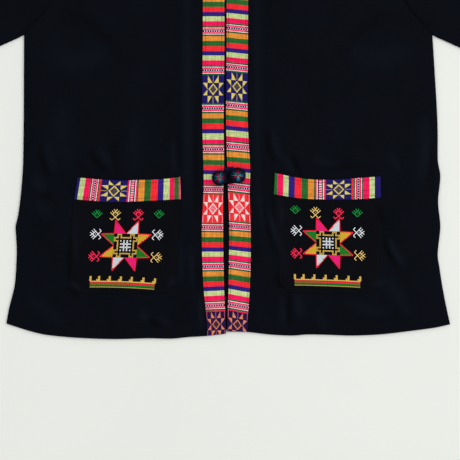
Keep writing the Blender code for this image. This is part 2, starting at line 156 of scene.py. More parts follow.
# Camera and light
VIEW_X = 2.3
VIEW_Y = -178.5
VIEW_HEIGHT = 1411.5
LENS = 85                   # mm, with a sensor of 36 mm
SENSOR = 36
WORLD_COLOUR = "#f6f8fa"
WORLD_STRENGTH = 0.90
KEY_POWER = 36.0
KEY_TARGET = (0, -150, 0)   # mm
KEY_SIZE = 1.6              # metres, as are the next three
KEY_PLACE = (3.0, 1.0, 2.4)
CLIP_END = 20
FLOOR_HALF = 4
FLOOR_DROP = 0.3            # mm below the jacket's underside
FLOOR_TONES = ("#eaebe3", "#f2f2eb")

# Threads
CROSS_PITCH = 1.25          # the grid of the cross-stitches, 8 to the centimetre
CELL_STITCHES = 2           # stitches along each side of a chart's cell
CELL_COVER = 0.78           # their share of the cell
FILL_COVER = 0.66           # a thread's width as a share of its stitch, in the star's triangles
CHART_COVER = 0.5           # and in charts
CROSS_REACH = 0.53          # half a stitch, as a share of its size
UPPER_LEG_RISE = 0.1        # its upper thread lies this much higher
STROKE_STITCH = 2.4         # longest stitch of a drawn line
STROKE_COVER = 0.58         # width of each of its two threads, as a share
THREAD_LIFT = 0.12
THREAD_OVERLAP = 0.15       # added to each thread's length
THREAD_HEIGHT = 0.6         # as a share of its width
TALLEST_FROM = 0.8          # wider threads are no higher
BROCADE_PITCH = 0.95        # rows of the bands' brocade
FLOAT_STEP = 0.3            # how finely a float's ends follow the star
FLOAT_OVERLAP = 0.12
LONGEST_FLOAT = 5
FLOAT_WIDTH = BROCADE_PITCH * 0.92

Crease = namedtuple("Crease", "x0 y0 x1 y1 x2 y2 width height")
Stripe = namedtuple("Stripe", "colour second width")
Lean = namedtuple("Lean", "place value")
StarYarn = namedtuple("StarYarn", "points rays hatch edge")
Motif = namedtuple("Motif", "x y turn colour legs")
Border = namedtuple("Border", "x y half_width slope bend")

COLOURS = {
    "red": "#fd2b33",
    "green": "#29682c",
    "orange": "#e88f36",
    "violet": "#2b1c7a",
    "lime": "#c1d08a",
    "crimson": "#f61458",
    "white": "#f2ece4",
    "thin_green": "#1d5a32",
    "ink": "#0c0620",
    "lilac": "#eadff2",
    "navy": "#1c1460",
    "purple": "#220d44",
    "gold": "#efd866",
    "dull_gold": "#b5a452",
    "olive": "#6c6136",
    "salmon": "#ee8c62",
    "rose": "#d8657e",
    "brown": "#5a3430",
    "pink": "#fb3c74",
    "soft_pink": "#fb7096",
    "pale_pink": "#fba8bc",
    "magenta": "#ee1a78",
    "stitch_white": "#f8fbff",
    "fill_white": "#d0dade",
    "fill_gold": "#d6ac2c",
    "stitch_gold": "#e6bc54",
    "stitch_yellow": "#ffd67e",
    "stitch_green": "#0f7c1e",
    "hook_green": "#12963e",
    "hook_crimson": "#ff2a54",
    "outline_red": "#ff1c3e",
    "topstitch": "#1a1020",
    "black_thread": "#040509",
}

# The band's repeat, hem to neck
CHECK = [
    Stripe("thin_green", None, 2.0), Stripe("white", None, 0.8), Stripe("crimson", None, 1.3),
    Stripe("crimson", "pale_pink", 1.1), Stripe("ink", "lilac", 2.5), Stripe("crimson", "pale_pink", 1.1),
    Stripe("crimson", None, 1.3), Stripe("white", None, 0.8), Stripe("thin_green", None, 2.0),
]
SIX_STRIPES = [
    Stripe("crimson", None, 6.3), Stripe("lime", None, 6.4), Stripe("violet", None, 5.5),
    Stripe("red", None, 6.5), Stripe("green", None, 6.75), Stripe("orange", None, 6.4),
]
# The parts of a star, as shares of its half width and half length
STAR_EDGE = (0.90, 0.95)    # the thin lines beside the band's edges
STAR_SQUARE = 0.47          # half the square that the end points stand on
END_POINT = 0.50            # length of these points
END_POINT_SIDES = ((0.08, 0.40), (0.52, -0.03))     # where each side starts, and its slope
END_RAY = (0.025, 0.1)      # half its width, and where it starts
SIDE_SQUARE = 0.54          # half the square that the side points stand on
SIDE_POINT_INNER = (0.04, 0.95)     # where the inner side starts, and its slope
SIDE_POINT_OUTER = 0.45
SIDE_POINT_END = 0.96
SIDE_RAY = (0.45, 0.56)     # from and to
SIDE_RAY_HALF = 0.03
DIAMOND_LENGTH = 0.43
DIAMOND_RING = 0.70         # where the diamond's ring starts
HATCH_RINGS = (0.2, 0.38, 0.56)
STAR_LENGTH = 36.6
HEM_STAR_LENGTH = 33.0
HEM_STAR_CUT = 2.3          # the hem cuts this much off the lowest star
DIAMOND = {"front": 0.44, "pocket": 0.54}   # half the star's middle, as a share of the half width
DOT_PITCH = 3.1             # of the check's dotted rows
REPEAT = [*CHECK, *SIX_STRIPES, *CHECK, *SIX_STRIPES, *CHECK]
# A star's stripe names its yarns in place of a second colour
STAR_YARNS = {
    "white_star": StarYarn("white", "pale_pink", "pale_pink", "pale_pink"),
    "gold_star": StarYarn("gold", "dull_gold", "olive", None),
    "salmon_star": StarYarn("salmon", "rose", "brown", "rose"),
}


def with_widths(stripes, widths):
    return [stripe._replace(width=width) for stripe, width in zip(stripes, widths)]


def scaled(stripes, factor):
    return [stripe._replace(width=stripe.width * factor) for stripe in stripes]


# Below and above the crimson and white star the weaving is a little looser or tighter
FRONT_BAND_STRIPES = {
    side: [
        Stripe("purple", "salmon_star", HEM_STAR_LENGTH), Stripe("crimson", None, 1.4),
        *scaled(CHECK, lowest), *scaled(SIX_STRIPES, low), *CHECK, *SIX_STRIPES,
        *scaled(CHECK, below_star), Stripe("red", "white_star", STAR_LENGTH),
        *scaled(CHECK, above_star),
        *with_widths(SIX_STRIPES, (6.3, 7.0, 5.3, 6.7, 6.5, 6.9)), *scaled(CHECK, 1.08),
        *with_widths(SIX_STRIPES, (5.7, 8.1, 5.6, 7.1, 6.8, 6.4)), *CHECK,
        Stripe("navy", "gold_star", STAR_LENGTH), *REPEAT,
        Stripe("red", "white_star", STAR_LENGTH), *REPEAT,
    ]
    for side, lowest, low, below_star, above_star in (
        ("right", 1.0, 1.0, 0.95, 1.0), ("left", 1.04, 1.022, 1.0, 1.13))
}
# Where the pattern starts along each band, and how far its stripes lean at some places
FRONT_BAND_START = {"right": -315.0 - HEM_STAR_CUT, "left": -315.5 - HEM_STAR_CUT}
FRONT_BAND_LEAN = {
    "right": [Lean(-254, 0.045), Lean(-239, 0.023), Lean(-208, 0.0), Lean(-176, -0.023),
              Lean(-120, -0.02), Lean(-60, 0.0)],
    "left": [Lean(-270, -0.185), Lean(-254, -0.177), Lean(-223, -0.146), Lean(-192, -0.09),
             Lean(-176, -0.08), Lean(-150, -0.11), Lean(-120, -0.12), Lean(-83, -0.085),
             Lean(-60, -0.10)],
}

# Pocket band, from the picture's left to its right
STAR_CHECK = [
    Stripe("crimson", None, 2.2), Stripe("white", None, 1.1), Stripe("thin_green", None, 1.4),
    Stripe("pink", "white", 3.7), Stripe("ink", "violet", 1.5), Stripe("white", None, 1.1),
    Stripe("crimson", None, 1.7), Stripe("thin_green", None, 1.6),
]
POCKET_BAND_STRIPES = {
    "right": [
        Stripe("navy", None, 5.0), Stripe("lime", None, 6.95), Stripe("crimson", None, 7.15),
        *scaled(CHECK, 0.93), Stripe("red", None, 2.2), Stripe("navy", "gold_star", 34.6), *STAR_CHECK,
        Stripe("orange", None, 7.9), Stripe("green", None, 8.3), Stripe("red", None, 8.95),
        Stripe("violet", None, 7.5), Stripe("lime", None, 7.75), Stripe("crimson", None, 6.15),
        Stripe("green", None, 6.0), Stripe("crimson", None, 1.2), Stripe("soft_pink", None, 6.0),
    ],
    "left": [
        Stripe("green", None, 3.4), Stripe("crimson", None, 7.5), Stripe("lime", None, 6.9),
        Stripe("violet", None, 7.9), Stripe("red", None, 8.8), Stripe("green", None, 8.5),
        Stripe("orange", None, 7.8), *scaled(STAR_CHECK, 1.06)[::-1],
        Stripe("navy", "gold_star", 33.4), Stripe("red", None, 2.5), *CHECK,
        Stripe("crimson", None, 7.8), Stripe("lime", None, 6.8), Stripe("navy", None, 9.0),
    ],
}
POCKET_BAND_START = {"right": -198.6, "left": 60.4}
POCKET_BAND_LEAN = {"right": [Lean(-198, 0.17), Lean(-62, 0.0)], "left": [Lean(60, 0.02), Lean(198, 0.0)]}

# Soft folds and creases of the fronts that are finer than the solids' folds
CREASES = {
    "right": [
        Crease(-213, -10, -216, -50, -209, -98, 17, 0.5),
        Crease(-245, -66, -240, -92, -230, -114, 5, -0.8),
        Crease(-236, -60, -231, -84, -222, -104, 8, 0.6),
        Crease(-252, -106, -246, -120, -236, -130, 9, 0.9),
        Crease(-250, -126, -238, -134, -226, -136, 5, -0.6),
        Crease(-250, -140, -240, -152, -228, -160, 12, 0.6),
        Crease(-182, -72, -171, -90, -155, -106, 4.5, -0.8),
        Crease(-170, -68, -159, -85, -147, -98, 6, 0.8),
        Crease(-194, -90, -187, -100, -178, -108, 4, -0.5),
        Crease(-146, -62, -149, -84, -143, -106, 6, -0.5),
        Crease(-126, -30, -122, -70, -124, -106, 13, 0.5),
        Crease(-72, -60, -71, -86, -69, -107, 4, 0.9),
        Crease(-65, -50, -64, -78, -64, -100, 4, -0.6),
        Crease(-54, 225, -53, -20, -52, -140, 7, 0.8),
        Crease(-43, -30, -42, -100, -41, -170, 4.5, -0.6),
        Crease(-205, -190, -206, -220, -206, -248, 3.2, -0.8),
        Crease(-197, -148, -198, -190, -198, -230, 4, 0.6),
        Crease(-205, -245, -198, -251, -189, -255, 4.2, 1.1),
        Crease(-207, -251, -201, -259, -192, -262, 3.6, -0.8),
        Crease(-79, -250, -73, -247, -69, -239, 4.6, 1.1),
        Crease(-64, -188, -62, -220, -61, -246, 4, 0.7),
        Crease(-117, -287, -109, -290, -101, -295, 6, 1.0),
        Crease(-105, -290, -96, -299, -86, -308, 4, -0.8),
        Crease(-88, -288, -81, -297, -74, -306, 5, 0.6),
        Crease(-49, -198, -47, -225, -44, -252, 5, 0.8),
        Crease(-43, -210, -41, -235, -38, -256, 4, -0.8),
        Crease(-37, -260, -36, -285, -35, -309, 3.6, 1.2),
        Crease(-265, -270, -236, -282, -214, -305, 12, 0.6),
        Crease(-240, 60, -196, 40, -150, 60, 18, 0.5),
        Crease(-225, 100, -180, 90, -140, 40, 10, -0.4),
    ],
    "left": [
        Crease(36, 225, 38, -30, 37, -128, 6, 0.7),
        Crease(52, -48, 53, -73, 63, -92, 4.2, -0.8),
        Crease(59, -44, 61, -69, 72, -88, 5, 0.9),
        Crease(82, -80, 87, -94, 97, -110, 4.2, -0.9),
        Crease(75, -82, 79, -94, 86, -106, 5, 0.8),
        Crease(108, -84, 124, -92, 150, -92, 6, 0.7),
        Crease(116, -100, 150, -97, 190, -99, 4, -0.5),
        Crease(35, -124, 43, -150, 49, -176, 6, 0.9),
        Crease(44, -138, 51, -172, 63, -216, 4.6, -1.0),
        Crease(53, -148, 58, -174, 67, -208, 5, 1.4),
        Crease(59, -141, 57, -158, 61, -175, 3.2, -0.8),
        Crease(66, -138, 69, -158, 66, -180, 5, 0.9),
        Crease(68, -200, 72, -222, 70, -240, 8, 0.5),
        Crease(60, -234, 64, -246, 72, -255, 3.6, -0.9),
        Crease(70, -264, 70, -286, 70, -308, 5, 0.9),
        Crease(79, -256, 79, -278, 80, -302, 4.2, -0.9),
        Crease(89, -260, 91, -276, 96, -294, 8, 0.9),
        Crease(195, -144, 197, -158, 198, -172, 3.2, -0.8),
        Crease(209, -188, 216, -207, 229, -226, 5, 1.3),
        Crease(202, -184, 207, -206, 220, -228, 4.2, -0.9),
        Crease(184, -249, 195, -247, 203, -242, 5, 0.9),
        Crease(206, -240, 218, -262, 240, -290, 11, 0.7),
        Crease(205, -76, 214, -88, 222, -104, 6, 0.7),
        Crease(250, -30, 256, -70, 246, -120, 10, 0.8),
        Crease(262, -60, 264, -90, 258, -130, 5, -0.5),
        Crease(150, -270, 180, -282, 214, -284, 9, 0.6),
        Crease(110, -284, 122, -298, 128, -311, 8, 0.5),
        Crease(240, 60, 196, 44, 150, 66, 18, 0.5),
        Crease(228, 104, 180, 88, 140, 40, 10, -0.4),
    ],
}
SLEEVE_CREASES = [
    Crease(246, 200, 300, 176, 350, 150, 9, 0.9),
    Crease(262, 100, 310, 120, 366, 116, 8, 1.0),
    Crease(270, 92, 318, 92, 370, 78, 6, -0.5),
    Crease(290, 170, 360, 150, 420, 100, 10, 1.0),
    Crease(420, 130, 470, 90, 520, 80, 9, 0.8),
    Crease(430, 40, 500, 30, 560, 0, 8, 0.9),
    Crease(560, 60, 600, 30, 650, 20, 8, 0.8),
    Crease(600, -60, 630, -50, 660, -60, 6, 0.5),
]
WRINKLES = [(70.0, 0.40), (30.0, 0.20), (13.0, 0.07)]   # wavelength and height of the small waves
WRINKLE_STRETCH = 0.7       # they run longer up and down
CREASE_FALL = 1.6           # how steeply a crease falls off across
CREASE_FADE = 0.6           # and how late towards its ends
SOLID_BLURS = 3             # times that the solid's own folds are made soft
BLUR = (1 / 16, 4 / 16, 6 / 16, 4 / 16, 1 / 16)
LOWEST_DIP = 0.3            # below the flat upper face
ARMHOLE_REACH = 2.2         # points of the sleeve this near to the body's armhole are sewn to it
ARMHOLE_OVERLAP = 0.1
SLEEVE_FALL = math.radians(27)
SLEEVE_EDGE = 9.0           # folds fade out this near to the sleeve's outline
UPPER_FROM = 0.7            # height where a sleeve's upper layer starts to take the folds
UPPER_SPAN = 0.8            # and how much higher it takes them whole

# Black cotton: tones of body and pockets, and the painted highlight on the creases' ridges and painted
# shade in their troughs
COTTON_TONES = {"black_cotton": ("#02050a", "#090c15"), "pocket_cotton": ("#030409", "#0b0b11")}
RIDGE_HIGHLIGHT_SHARE = 0.28         # how far a crease's ridge is painted towards the highlight tone
# Painted highlight colour of the creases' ridges
RIDGE_HIGHLIGHT_TONE = "#1e2430"
RIDGE_HIGHLIGHT_HEIGHT = 1.5         # height of a ridge that gets the whole painted highlight
# Painted shade in the creases' troughs: its colour, and how far it is mixed in
TROUGH_SHADE_TONE = "#010102"
TROUGH_SHADE_SHARE = 0.8
TROUGH_SHADE_DEPTH = 0.8          # depth of a trough that gets the whole painted shade
# Noise along the threads, in waves for each mm: slubs of 1.1 by 20 mm, and worn patches of 50 by 67 mm
WARP_SLUBS = (0.9, 0.05, 0.0)
WEFT_SLUBS = (0.05, 0.9, 0.0)
WORN_PATCHES = (0.02, 0.015, 0.0)
COTTON_RIDGES = 1.0         # threads of 0.5 mm, drawn twice as coarse so that they show
COTTON_BUMP = 0.03
SLUB_BUMP = 0.05

# Woven bands: uneven weft of 10 by 1.8 mm, warp of 2 by 25 mm and faded patches of 20 mm
BAND_WEFT = (0.10, 0.55, 0.0)
BAND_WARP = (0.50, 0.04, 0.0)
BAND_FADING = (0.05, 0.05, 0.0)
BAND_RIBS = (1.8, 0.9)      # ribs of 0.6 mm, drawn half as coarse again so that they show
BAND_RIB_BUMP = 0.05
BAND_WEFT_BUMP = 0.12
DOT_EDGE = (0.55, 0.68)     # parts of the sine at which a dot starts and is full
YARN_FIBRES = 0.9           # mm
FIBRE_BUMP = 0.10

# Embroidery of each pocket: where its star is centred, and how the cloth leans
POCKET_STAR = {"right": (-133.4, -198.8), "left": (129.4, -195.5)}
POCKET_LEAN = {"right": 0.08, "left": 0.0}
POCKET_SLOPE = {"right": -0.019, "left": -0.034}
CELL = 2.05                 # one cell of the star's middle
FRAME_CHART = [
    "..YYY.....YYY..",
    "..Y.Y.....Y.Y..",
    "YYY.YYYYYYY.YYY",
    "Y.............Y",
    "YYY.........YYY",
    "..Y.........Y..",
    "..Y.........Y..",
    "..Y.........Y..",
]
MIDDLE_CHART = [
    "W.W.W.W",
    "..W.W..",
    "WWWWWWW",
    "..W.W..",
    "WWWWWWW",
    "..W.W..",
    "W.W.W.W",
]
# The star's eight triangles: a half side of the middle is the base, and the tip is above its outer end
MIDDLE_HALF = 15.4
POINT_GAP = 0.5             # from the middle line to the triangle beside it
STAR_TIP = (14.8, 32.5)
FILL_CLEARANCE = 0.8        # of the cross-stitches from the triangle's edge
TRIANGLE_COLOURS = [        # to the right of the top, then clockwise
    "fill_white", "fill_gold", "stitch_green", "magenta",
    "fill_white", "fill_gold", "stitch_green", "magenta",
]
HOOK_SIZE = 3.5
HOOK_EYE = 0.8
HOOK_STROKES = {"hook_green": 0.92, "hook_crimson": 1.22, "stitch_yellow": 0.84, "stitch_white": 0.84}
OUTLINE_STROKE = 1.2
HOOK_LINES = [
    [(0, -1), (-1.9, 0.8)], [(0, -1), (1.9, 0.8)], [(-1, 0), (0, 1)], [(1, 0), (0, 1)],
    [(-0.5, 0.5), (-1.3, 1.35)], [(0.5, 0.5), (1.3, 1.35)], [(0, 1), (-0.6, 1.95)],
    [(0, 1), (0.6, 1.95)],
]
HOOK_LEGS = [
    [(0, -1), (-1.18, -2.1)], [(-1.18, -2.1), (-1.9, -1.36)],
    [(0, -1), (1.18, -2.1)], [(1.18, -2.1), (1.9, -1.36)],
]
HOOKS = {
    "right": [
        Motif(-170.1, -159.2, 0, "hook_green", False), Motif(-89.7, -159.5, 0, "hook_green", False),
        Motif(-146.2, -158.4, 0, "stitch_yellow", True), Motif(-116.4, -158.4, 0, "hook_crimson", True),
        Motif(-172.2, -183.7, 90, "stitch_white", True), Motif(-91.2, -184.9, -90, "stitch_white", True),
        Motif(-174.4, -212.6, 90, "hook_crimson", True), Motif(-93.0, -214.1, -90, "stitch_yellow", True),
    ],
    "left": [
        Motif(86.9, -153.7, 0, "hook_green", False), Motif(167.3, -157.9, 0, "hook_green", False),
        Motif(113.0, -155.6, 0, "stitch_yellow", True), Motif(143.1, -156.9, 0, "hook_crimson", True),
        Motif(88.0, -179.2, 90, "stitch_white", True), Motif(169.6, -182.0, -90, "stitch_white", True),
        Motif(88.2, -208.6, 90, "hook_crimson", True), Motif(170.9, -211.7, -90, "stitch_yellow", True),
    ],
}
BORDERS = {
    "right": Border(-137.2, -245.6, 41.9, -0.036, -0.00057),
    "left": Border(128.6, -243.5, 42.5, -0.036, -0.0003),
}
BORDER_LINES = [            # below the gold line, width and colour
    (0.0, 1.4, "stitch_gold"), (2.4, 1.9, "outline_red"), (4.8, 2.1, "stitch_green"),
    (7.2, 1.1, "dull_gold"),
]
BORDER_PIECES = 6           # strokes in each half of its lines
TOWERS = (-41.2, -30.2, -16.6, -2.3, 11.7, 26.7, 41.5)
TOWER_FOOT = 1.3
TOWER_PITCH = 1.2
TOWER_STEPS = [(0.0, 2.5, 6.0), (-2.4, 2.1, 2.8)]      # place, width and height


# Settings of a node that mixes two colours, and the sockets of these
COLOUR_MIX = {"data_type": "RGBA", "clamp_result": True}
FIRST, SECOND = 6, 7
MIXED = 2


def linear(name):
    """The named sRGB colour, or the hex value itself, as linear RGBA."""
    value = COLOURS.get(name, name).lstrip("#")
    channels = [int(value[i:i + 2], 16) / 255 for i in (0, 2, 4)]
    return (*(c / 12.92 if c <= 0.04045 else ((c + 0.055) / 1.055) ** 2.4 for c in channels), 1.0)


def add_node(tree, kind, inputs=None, **settings):
    """Adds a node. inputs maps a socket's name or number to a value or to another node's output."""
    node = tree.nodes.new(kind)
    for name, value in settings.items():
        setattr(node, name, value)
    for key, value in (inputs or {}).items():
        if isinstance(value, bpy.types.NodeSocket):
            tree.links.new(value, node.inputs[key])
        else:
            node.inputs[key].default_value = value
    return node


def new_material(name):
    """An empty material and its node tree."""
    made = bpy.data.materials.new(name)
    made.use_nodes = True
    made.node_tree.nodes.clear()
    return made, made.node_tree


def streaks(tree, place, stretch, low, high):
    """Noise drawn out along the threads, as a number from low to high."""
    drawn = add_node(tree, "ShaderNodeVectorMath", {0: place, 1: stretch}, operation="MULTIPLY")
    spots = add_node(tree, "ShaderNodeTexNoise",
                     {"Vector": drawn.outputs[0], "Scale": 1.0, "Detail": 3.0, "Roughness": 0.6})
    spread = add_node(tree, "ShaderNodeMapRange",
                      {"Value": spots.outputs[0], "From Min": 0.3, "From Max": 0.7,
                       "To Min": low, "To Max": high})
    return spread.outputs[0]


def ridges(tree, place, across, along):
    """Thread ridges of a weave: crossed sines with these pitches in mm."""
    turns = (math.tau / across, math.tau / along, 0.0)
    scaled = add_node(tree, "ShaderNodeVectorMath", {0: place, 1: turns}, operation="MULTIPLY")
    parts = add_node(tree, "ShaderNodeSeparateXYZ", {0: scaled.outputs[0]})
    waves = [add_node(tree, "ShaderNodeMath", {0: parts.outputs[i]}, operation="SINE") for i in (0, 1)]
    crossed = add_node(tree, "ShaderNodeMath", {0: waves[0].outputs[0], 1: waves[1].outputs[0]},
                       operation="MULTIPLY")
    return crossed.outputs[0]


def with_bumps(tree, heights):
    """A normal from several heights, each with its depth in mm."""
    normal = None
    for height, depth in heights:
        inputs = {"Height": height, "Distance": depth * MM, "Strength": 1.0}
        if normal:
            inputs["Normal"] = normal
        normal = add_node(tree, "ShaderNodeBump", inputs).outputs[0]
    return normal


def surface_shader(tree, colour, normal, **values):
    """A Principled shader on the output; values are its plain sockets."""
    inputs = {"Base Color": colour, "Normal": normal}
    inputs.update({name.replace("_", " ").title().replace("Ior", "IOR"): value
                   for name, value in values.items()})
    shader = add_node(tree, "ShaderNodeBsdfPrincipled", inputs)
    add_node(tree, "ShaderNodeOutputMaterial", {0: shader.outputs[0]})


def black_cotton(name):
    """Plain-woven, dyed cotton: dull, nearly black, with slubs along both threads, and painted highlight
    and painted shade along the creases.
    """
    darker, paler = COTTON_TONES[name]
    made, tree = new_material(name)
    place = add_node(tree, "ShaderNodeAttribute", attribute_name="weave").outputs["Vector"]
    warp = streaks(tree, place, WARP_SLUBS, 0.0, 1.0)
    weft = streaks(tree, place, WEFT_SLUBS, 0.0, 1.0)
    wear = streaks(tree, place, WORN_PATCHES, 0.0, 1.0)
    threads = add_node(tree, "ShaderNodeMath", {0: warp, 1: weft}, operation="ADD")
    tone = add_node(tree, "ShaderNodeMath", {0: threads.outputs[0], 1: wear}, operation="ADD")
    share = add_node(tree, "ShaderNodeMath", {0: tone.outputs[0], 1: 1 / 3}, operation="MULTIPLY")
    colour = add_node(tree, "ShaderNodeMix",
                      {0: share.outputs[0], FIRST: linear(darker), SECOND: linear(paler)}, **COLOUR_MIX)
    # Painted highlight on the creases' ridges and painted shade in their troughs, set by the creases' own
    # heights
    crease_shading = add_node(tree, "ShaderNodeSeparateXYZ", {0: place}).outputs[2]
    ridge_highlight = add_node(tree, "ShaderNodeMapRange",
                    {"Value": crease_shading, "From Max": RIDGE_HIGHLIGHT_HEIGHT, "To Max": RIDGE_HIGHLIGHT_SHARE})
    trough_shade = add_node(tree, "ShaderNodeMapRange",
                    {"Value": crease_shading, "From Max": -TROUGH_SHADE_DEPTH, "To Max": TROUGH_SHADE_SHARE})
    for amount, painted_tone in ((ridge_highlight, RIDGE_HIGHLIGHT_TONE), (trough_shade, TROUGH_SHADE_TONE)):
        colour = add_node(tree, "ShaderNodeMix",
                          {0: amount.outputs[0], FIRST: colour.outputs[MIXED], SECOND: linear(painted_tone)},
                          **COLOUR_MIX)
    threads = ridges(tree, place, COTTON_RIDGES, COTTON_RIDGES)
    normal = with_bumps(tree, [(threads, COTTON_BUMP), (warp, SLUB_BUMP), (weft, SLUB_BUMP)])
    surface_shader(tree, colour.outputs[MIXED], normal, roughness=0.70, specular_ior_level=0.04)
    return made


def woven_band():
    """Weft-faced cotton band: flat bright stripes with fine ribs across and a duller warp."""
    made, tree = new_material("woven_band")
    place = add_node(tree, "ShaderNodeAttribute", attribute_name="weave").outputs["Vector"]
    first = add_node(tree, "ShaderNodeAttribute", attribute_name="first")
    half_turn = add_node(tree, "ShaderNodeMath", {0: first.outputs["Alpha"], 1: math.pi},
                         operation="MULTIPLY")
    second = add_node(tree, "ShaderNodeAttribute", attribute_name="second")
    across = add_node(tree, "ShaderNodeSeparateXYZ", {0: place})
    dots = add_node(tree, "ShaderNodeMath", {0: across.outputs[0], 1: math.tau / DOT_PITCH},
                    operation="MULTIPLY")
    dots = add_node(tree, "ShaderNodeMath", {0: dots.outputs[0], 1: half_turn.outputs[0]}, operation="ADD")
    wave = add_node(tree, "ShaderNodeMath", {0: dots.outputs[0]}, operation="SINE")
    sharp = add_node(tree, "ShaderNodeMapRange",
                     {"Value": wave.outputs[0], "From Min": DOT_EDGE[0], "From Max": DOT_EDGE[1]})
    dyed = add_node(tree, "ShaderNodeMix",
                    {0: sharp.outputs[0], FIRST: first.outputs["Color"], SECOND: second.outputs["Color"]},
                    **COLOUR_MIX)
    weft = streaks(tree, place, BAND_WEFT, 0.74, 1.20)
    warp = streaks(tree, place, BAND_WARP, 0.78, 1.26)
    faded = streaks(tree, place, BAND_FADING, 0.93, 1.09)
    shade = add_node(tree, "ShaderNodeMath", {0: weft, 1: warp}, operation="MULTIPLY")
    shade = add_node(tree, "ShaderNodeMath", {0: shade.outputs[0], 1: faded}, operation="MULTIPLY")
    grey = add_node(tree, "ShaderNodeCombineColor", dict.fromkeys(range(3), shade.outputs[0]))
    colour = add_node(tree, "ShaderNodeMix",
                      {0: 1.0, FIRST: dyed.outputs[MIXED], SECOND: grey.outputs[0]},
                      blend_type="MULTIPLY", **COLOUR_MIX)
    normal = with_bumps(tree, [(ridges(tree, place, *BAND_RIBS), BAND_RIB_BUMP), (weft, BAND_WEFT_BUMP)])
    surface_shader(tree, colour.outputs[MIXED], normal, roughness=0.75, specular_ior_level=0.10,
                   sheen_weight=0.02, sheen_roughness=0.4)
    return made


def yarn(name, roughness, shine):
    """Twisted cotton yarn in each thread's own colour, a little uneven."""
    made, tree = new_material(name)
    dyed = add_node(tree, "ShaderNodeAttribute", attribute_name="thread_colour")
    place = add_node(tree, "ShaderNodeTexCoord").outputs["Object"]
    fibres = add_node(tree, "ShaderNodeTexNoise",
                      {"Vector": place, "Scale": 1 / (YARN_FIBRES * MM), "Detail": 2.0})
    tone = add_node(tree, "ShaderNodeMapRange",
                    {"Value": fibres.outputs[0], "From Min": 0.3, "From Max": 0.7,
                     "To Min": 0.88, "To Max": 1.12})
    grey = add_node(tree, "ShaderNodeCombineColor", dict.fromkeys(range(3), tone.outputs[0]))
    colour = add_node(tree, "ShaderNodeMix",
                      {0: 1.0, FIRST: dyed.outputs["Color"], SECOND: grey.outputs[0]},
                      blend_type="MULTIPLY", **COLOUR_MIX)
    normal = with_bumps(tree, [(fibres.outputs[0], FIBRE_BUMP)])
    surface_shader(tree, colour.outputs[MIXED], normal, roughness=roughness, specular_ior_level=shine,
                   sheen_weight=0.02, sheen_roughness=0.4)
    return made


def floor_paint():
    """A matt, pale tabletop."""
    made, tree = new_material("pale_tabletop")
    place = add_node(tree, "ShaderNodeTexCoord").outputs["Object"]
    spots = add_node(tree, "ShaderNodeTexNoise", {"Vector": place, "Scale": 3.0, "Detail": 2.0})
    colour = add_node(tree, "ShaderNodeMix",
                      {0: spots.outputs[0], FIRST: linear(FLOOR_TONES[0]), SECOND: linear(FLOOR_TONES[1])},
                      **COLOUR_MIX)
    normal = with_bumps(tree, [(spots.outputs[0], 0.05)])
    surface_shader(tree, colour.outputs[MIXED], normal, roughness=0.6)
    return made


def merged_copy(node):
    """A copy of a CAD node's mesh with its loose triangles joined."""
    shape = bmesh.new()
    shape.from_mesh(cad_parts[node].data)
    bmesh.ops.remove_doubles(shape, verts=shape.verts, dist=0.01 * MM)
    return shape


def plan_outline(node):
    """The outline of a node's upper face from above, in mm, counterclockwise."""
    shape = merged_copy(node)
    upper = {face for face in shape.faces if face.normal.z > 0.5}
    following = {}
    for face in upper:
        for loop in face.loops:
            if loop.link_loop_radial_next.face not in upper:
                following[loop.vert] = loop.link_loop_next.vert
    start = next(iter(following))
    line, vert = [], start
    while not line or vert != start:
        line.append((vert.co.x / MM, vert.co.y / MM))
        vert = following[vert]
    shape.free()
    return np.array(line)


def is_corner(before, here, after):
    turn = math.atan2(*(after - here)[::-1]) - math.atan2(*(here - before)[::-1])
    return abs((turn + math.pi) % math.tau - math.pi) > CORNER_ANGLE


def slope_at(before, here, after):
    """The direction of a smooth line at a point between two others."""
    near, far = np.linalg.norm(here - before), np.linalg.norm(after - here)
    return ((here - before) / near * far + (after - here) / far * near) / (near + far)


def smooth_closed(line, step=EDGE_STEP):
    """The closed outline with round stretches between its corners, as Hermite curves."""
    count = len(line)
    corner = [is_corner(line[i - 1], line[i], line[(i + 1) % count]) for i in range(count)]
    slope = [slope_at(line[i - 1], line[i], line[(i + 1) % count]) for i in range(count)]
    smooth = []
    for i in range(count):
        j = (i + 1) % count
        run = line[j] - line[i]
        length = np.linalg.norm(run)
        leaving = run / length if corner[i] else slope[i]
        arriving = run / length if corner[j] else slope[j]
        pieces = max(1, round(length / step))
        for k in range(pieces):
            t = k / pieces
            smooth.append((2 * t**3 - 3 * t**2 + 1) * line[i] + (t**3 - 2 * t**2 + t) * length * leaving
                          + (3 * t**2 - 2 * t**3) * line[j] + (t**3 - t**2) * length * arriving)
    return np.array(smooth)


def stretch_of(line, wanted):
    """The longest run of a closed outline's points for which wanted is true."""
    flags = [bool(wanted(point)) for point in line]
    if all(flags):
        return line
    first = flags.index(False)
    runs, run = [], []
    for k in range(1, len(line) + 1):
        i = (first + k) % len(line)
        if flags[i]:
            run.append(line[i])
        elif run:
            runs.append(run)
            run = []
    return np.array(max(runs, key=len))


def nearest_on(points, line, closed=False):
    """For each point its distance to a line, in mm, and the line's nearest point."""
    ends = np.roll(line, -1, axis=0) if closed else line[1:]
    starts = line if closed else line[:-1]
    best = np.full(len(points), np.inf)
    nearest = np.zeros((len(points), 2))
    for a, b in zip(starts, ends):
        run = b - a
        t = np.clip(((points - a) @ run) / max(run @ run, 1e-9), 0, 1)
        foot = a + t[:, None] * run
        distance = np.hypot(*(points - foot).T)
        nearest[distance < best] = foot[distance < best]
        best = np.minimum(best, distance)
    return best, nearest


def distance_to(points, line, closed=False):
    return nearest_on(points, line, closed)[0]


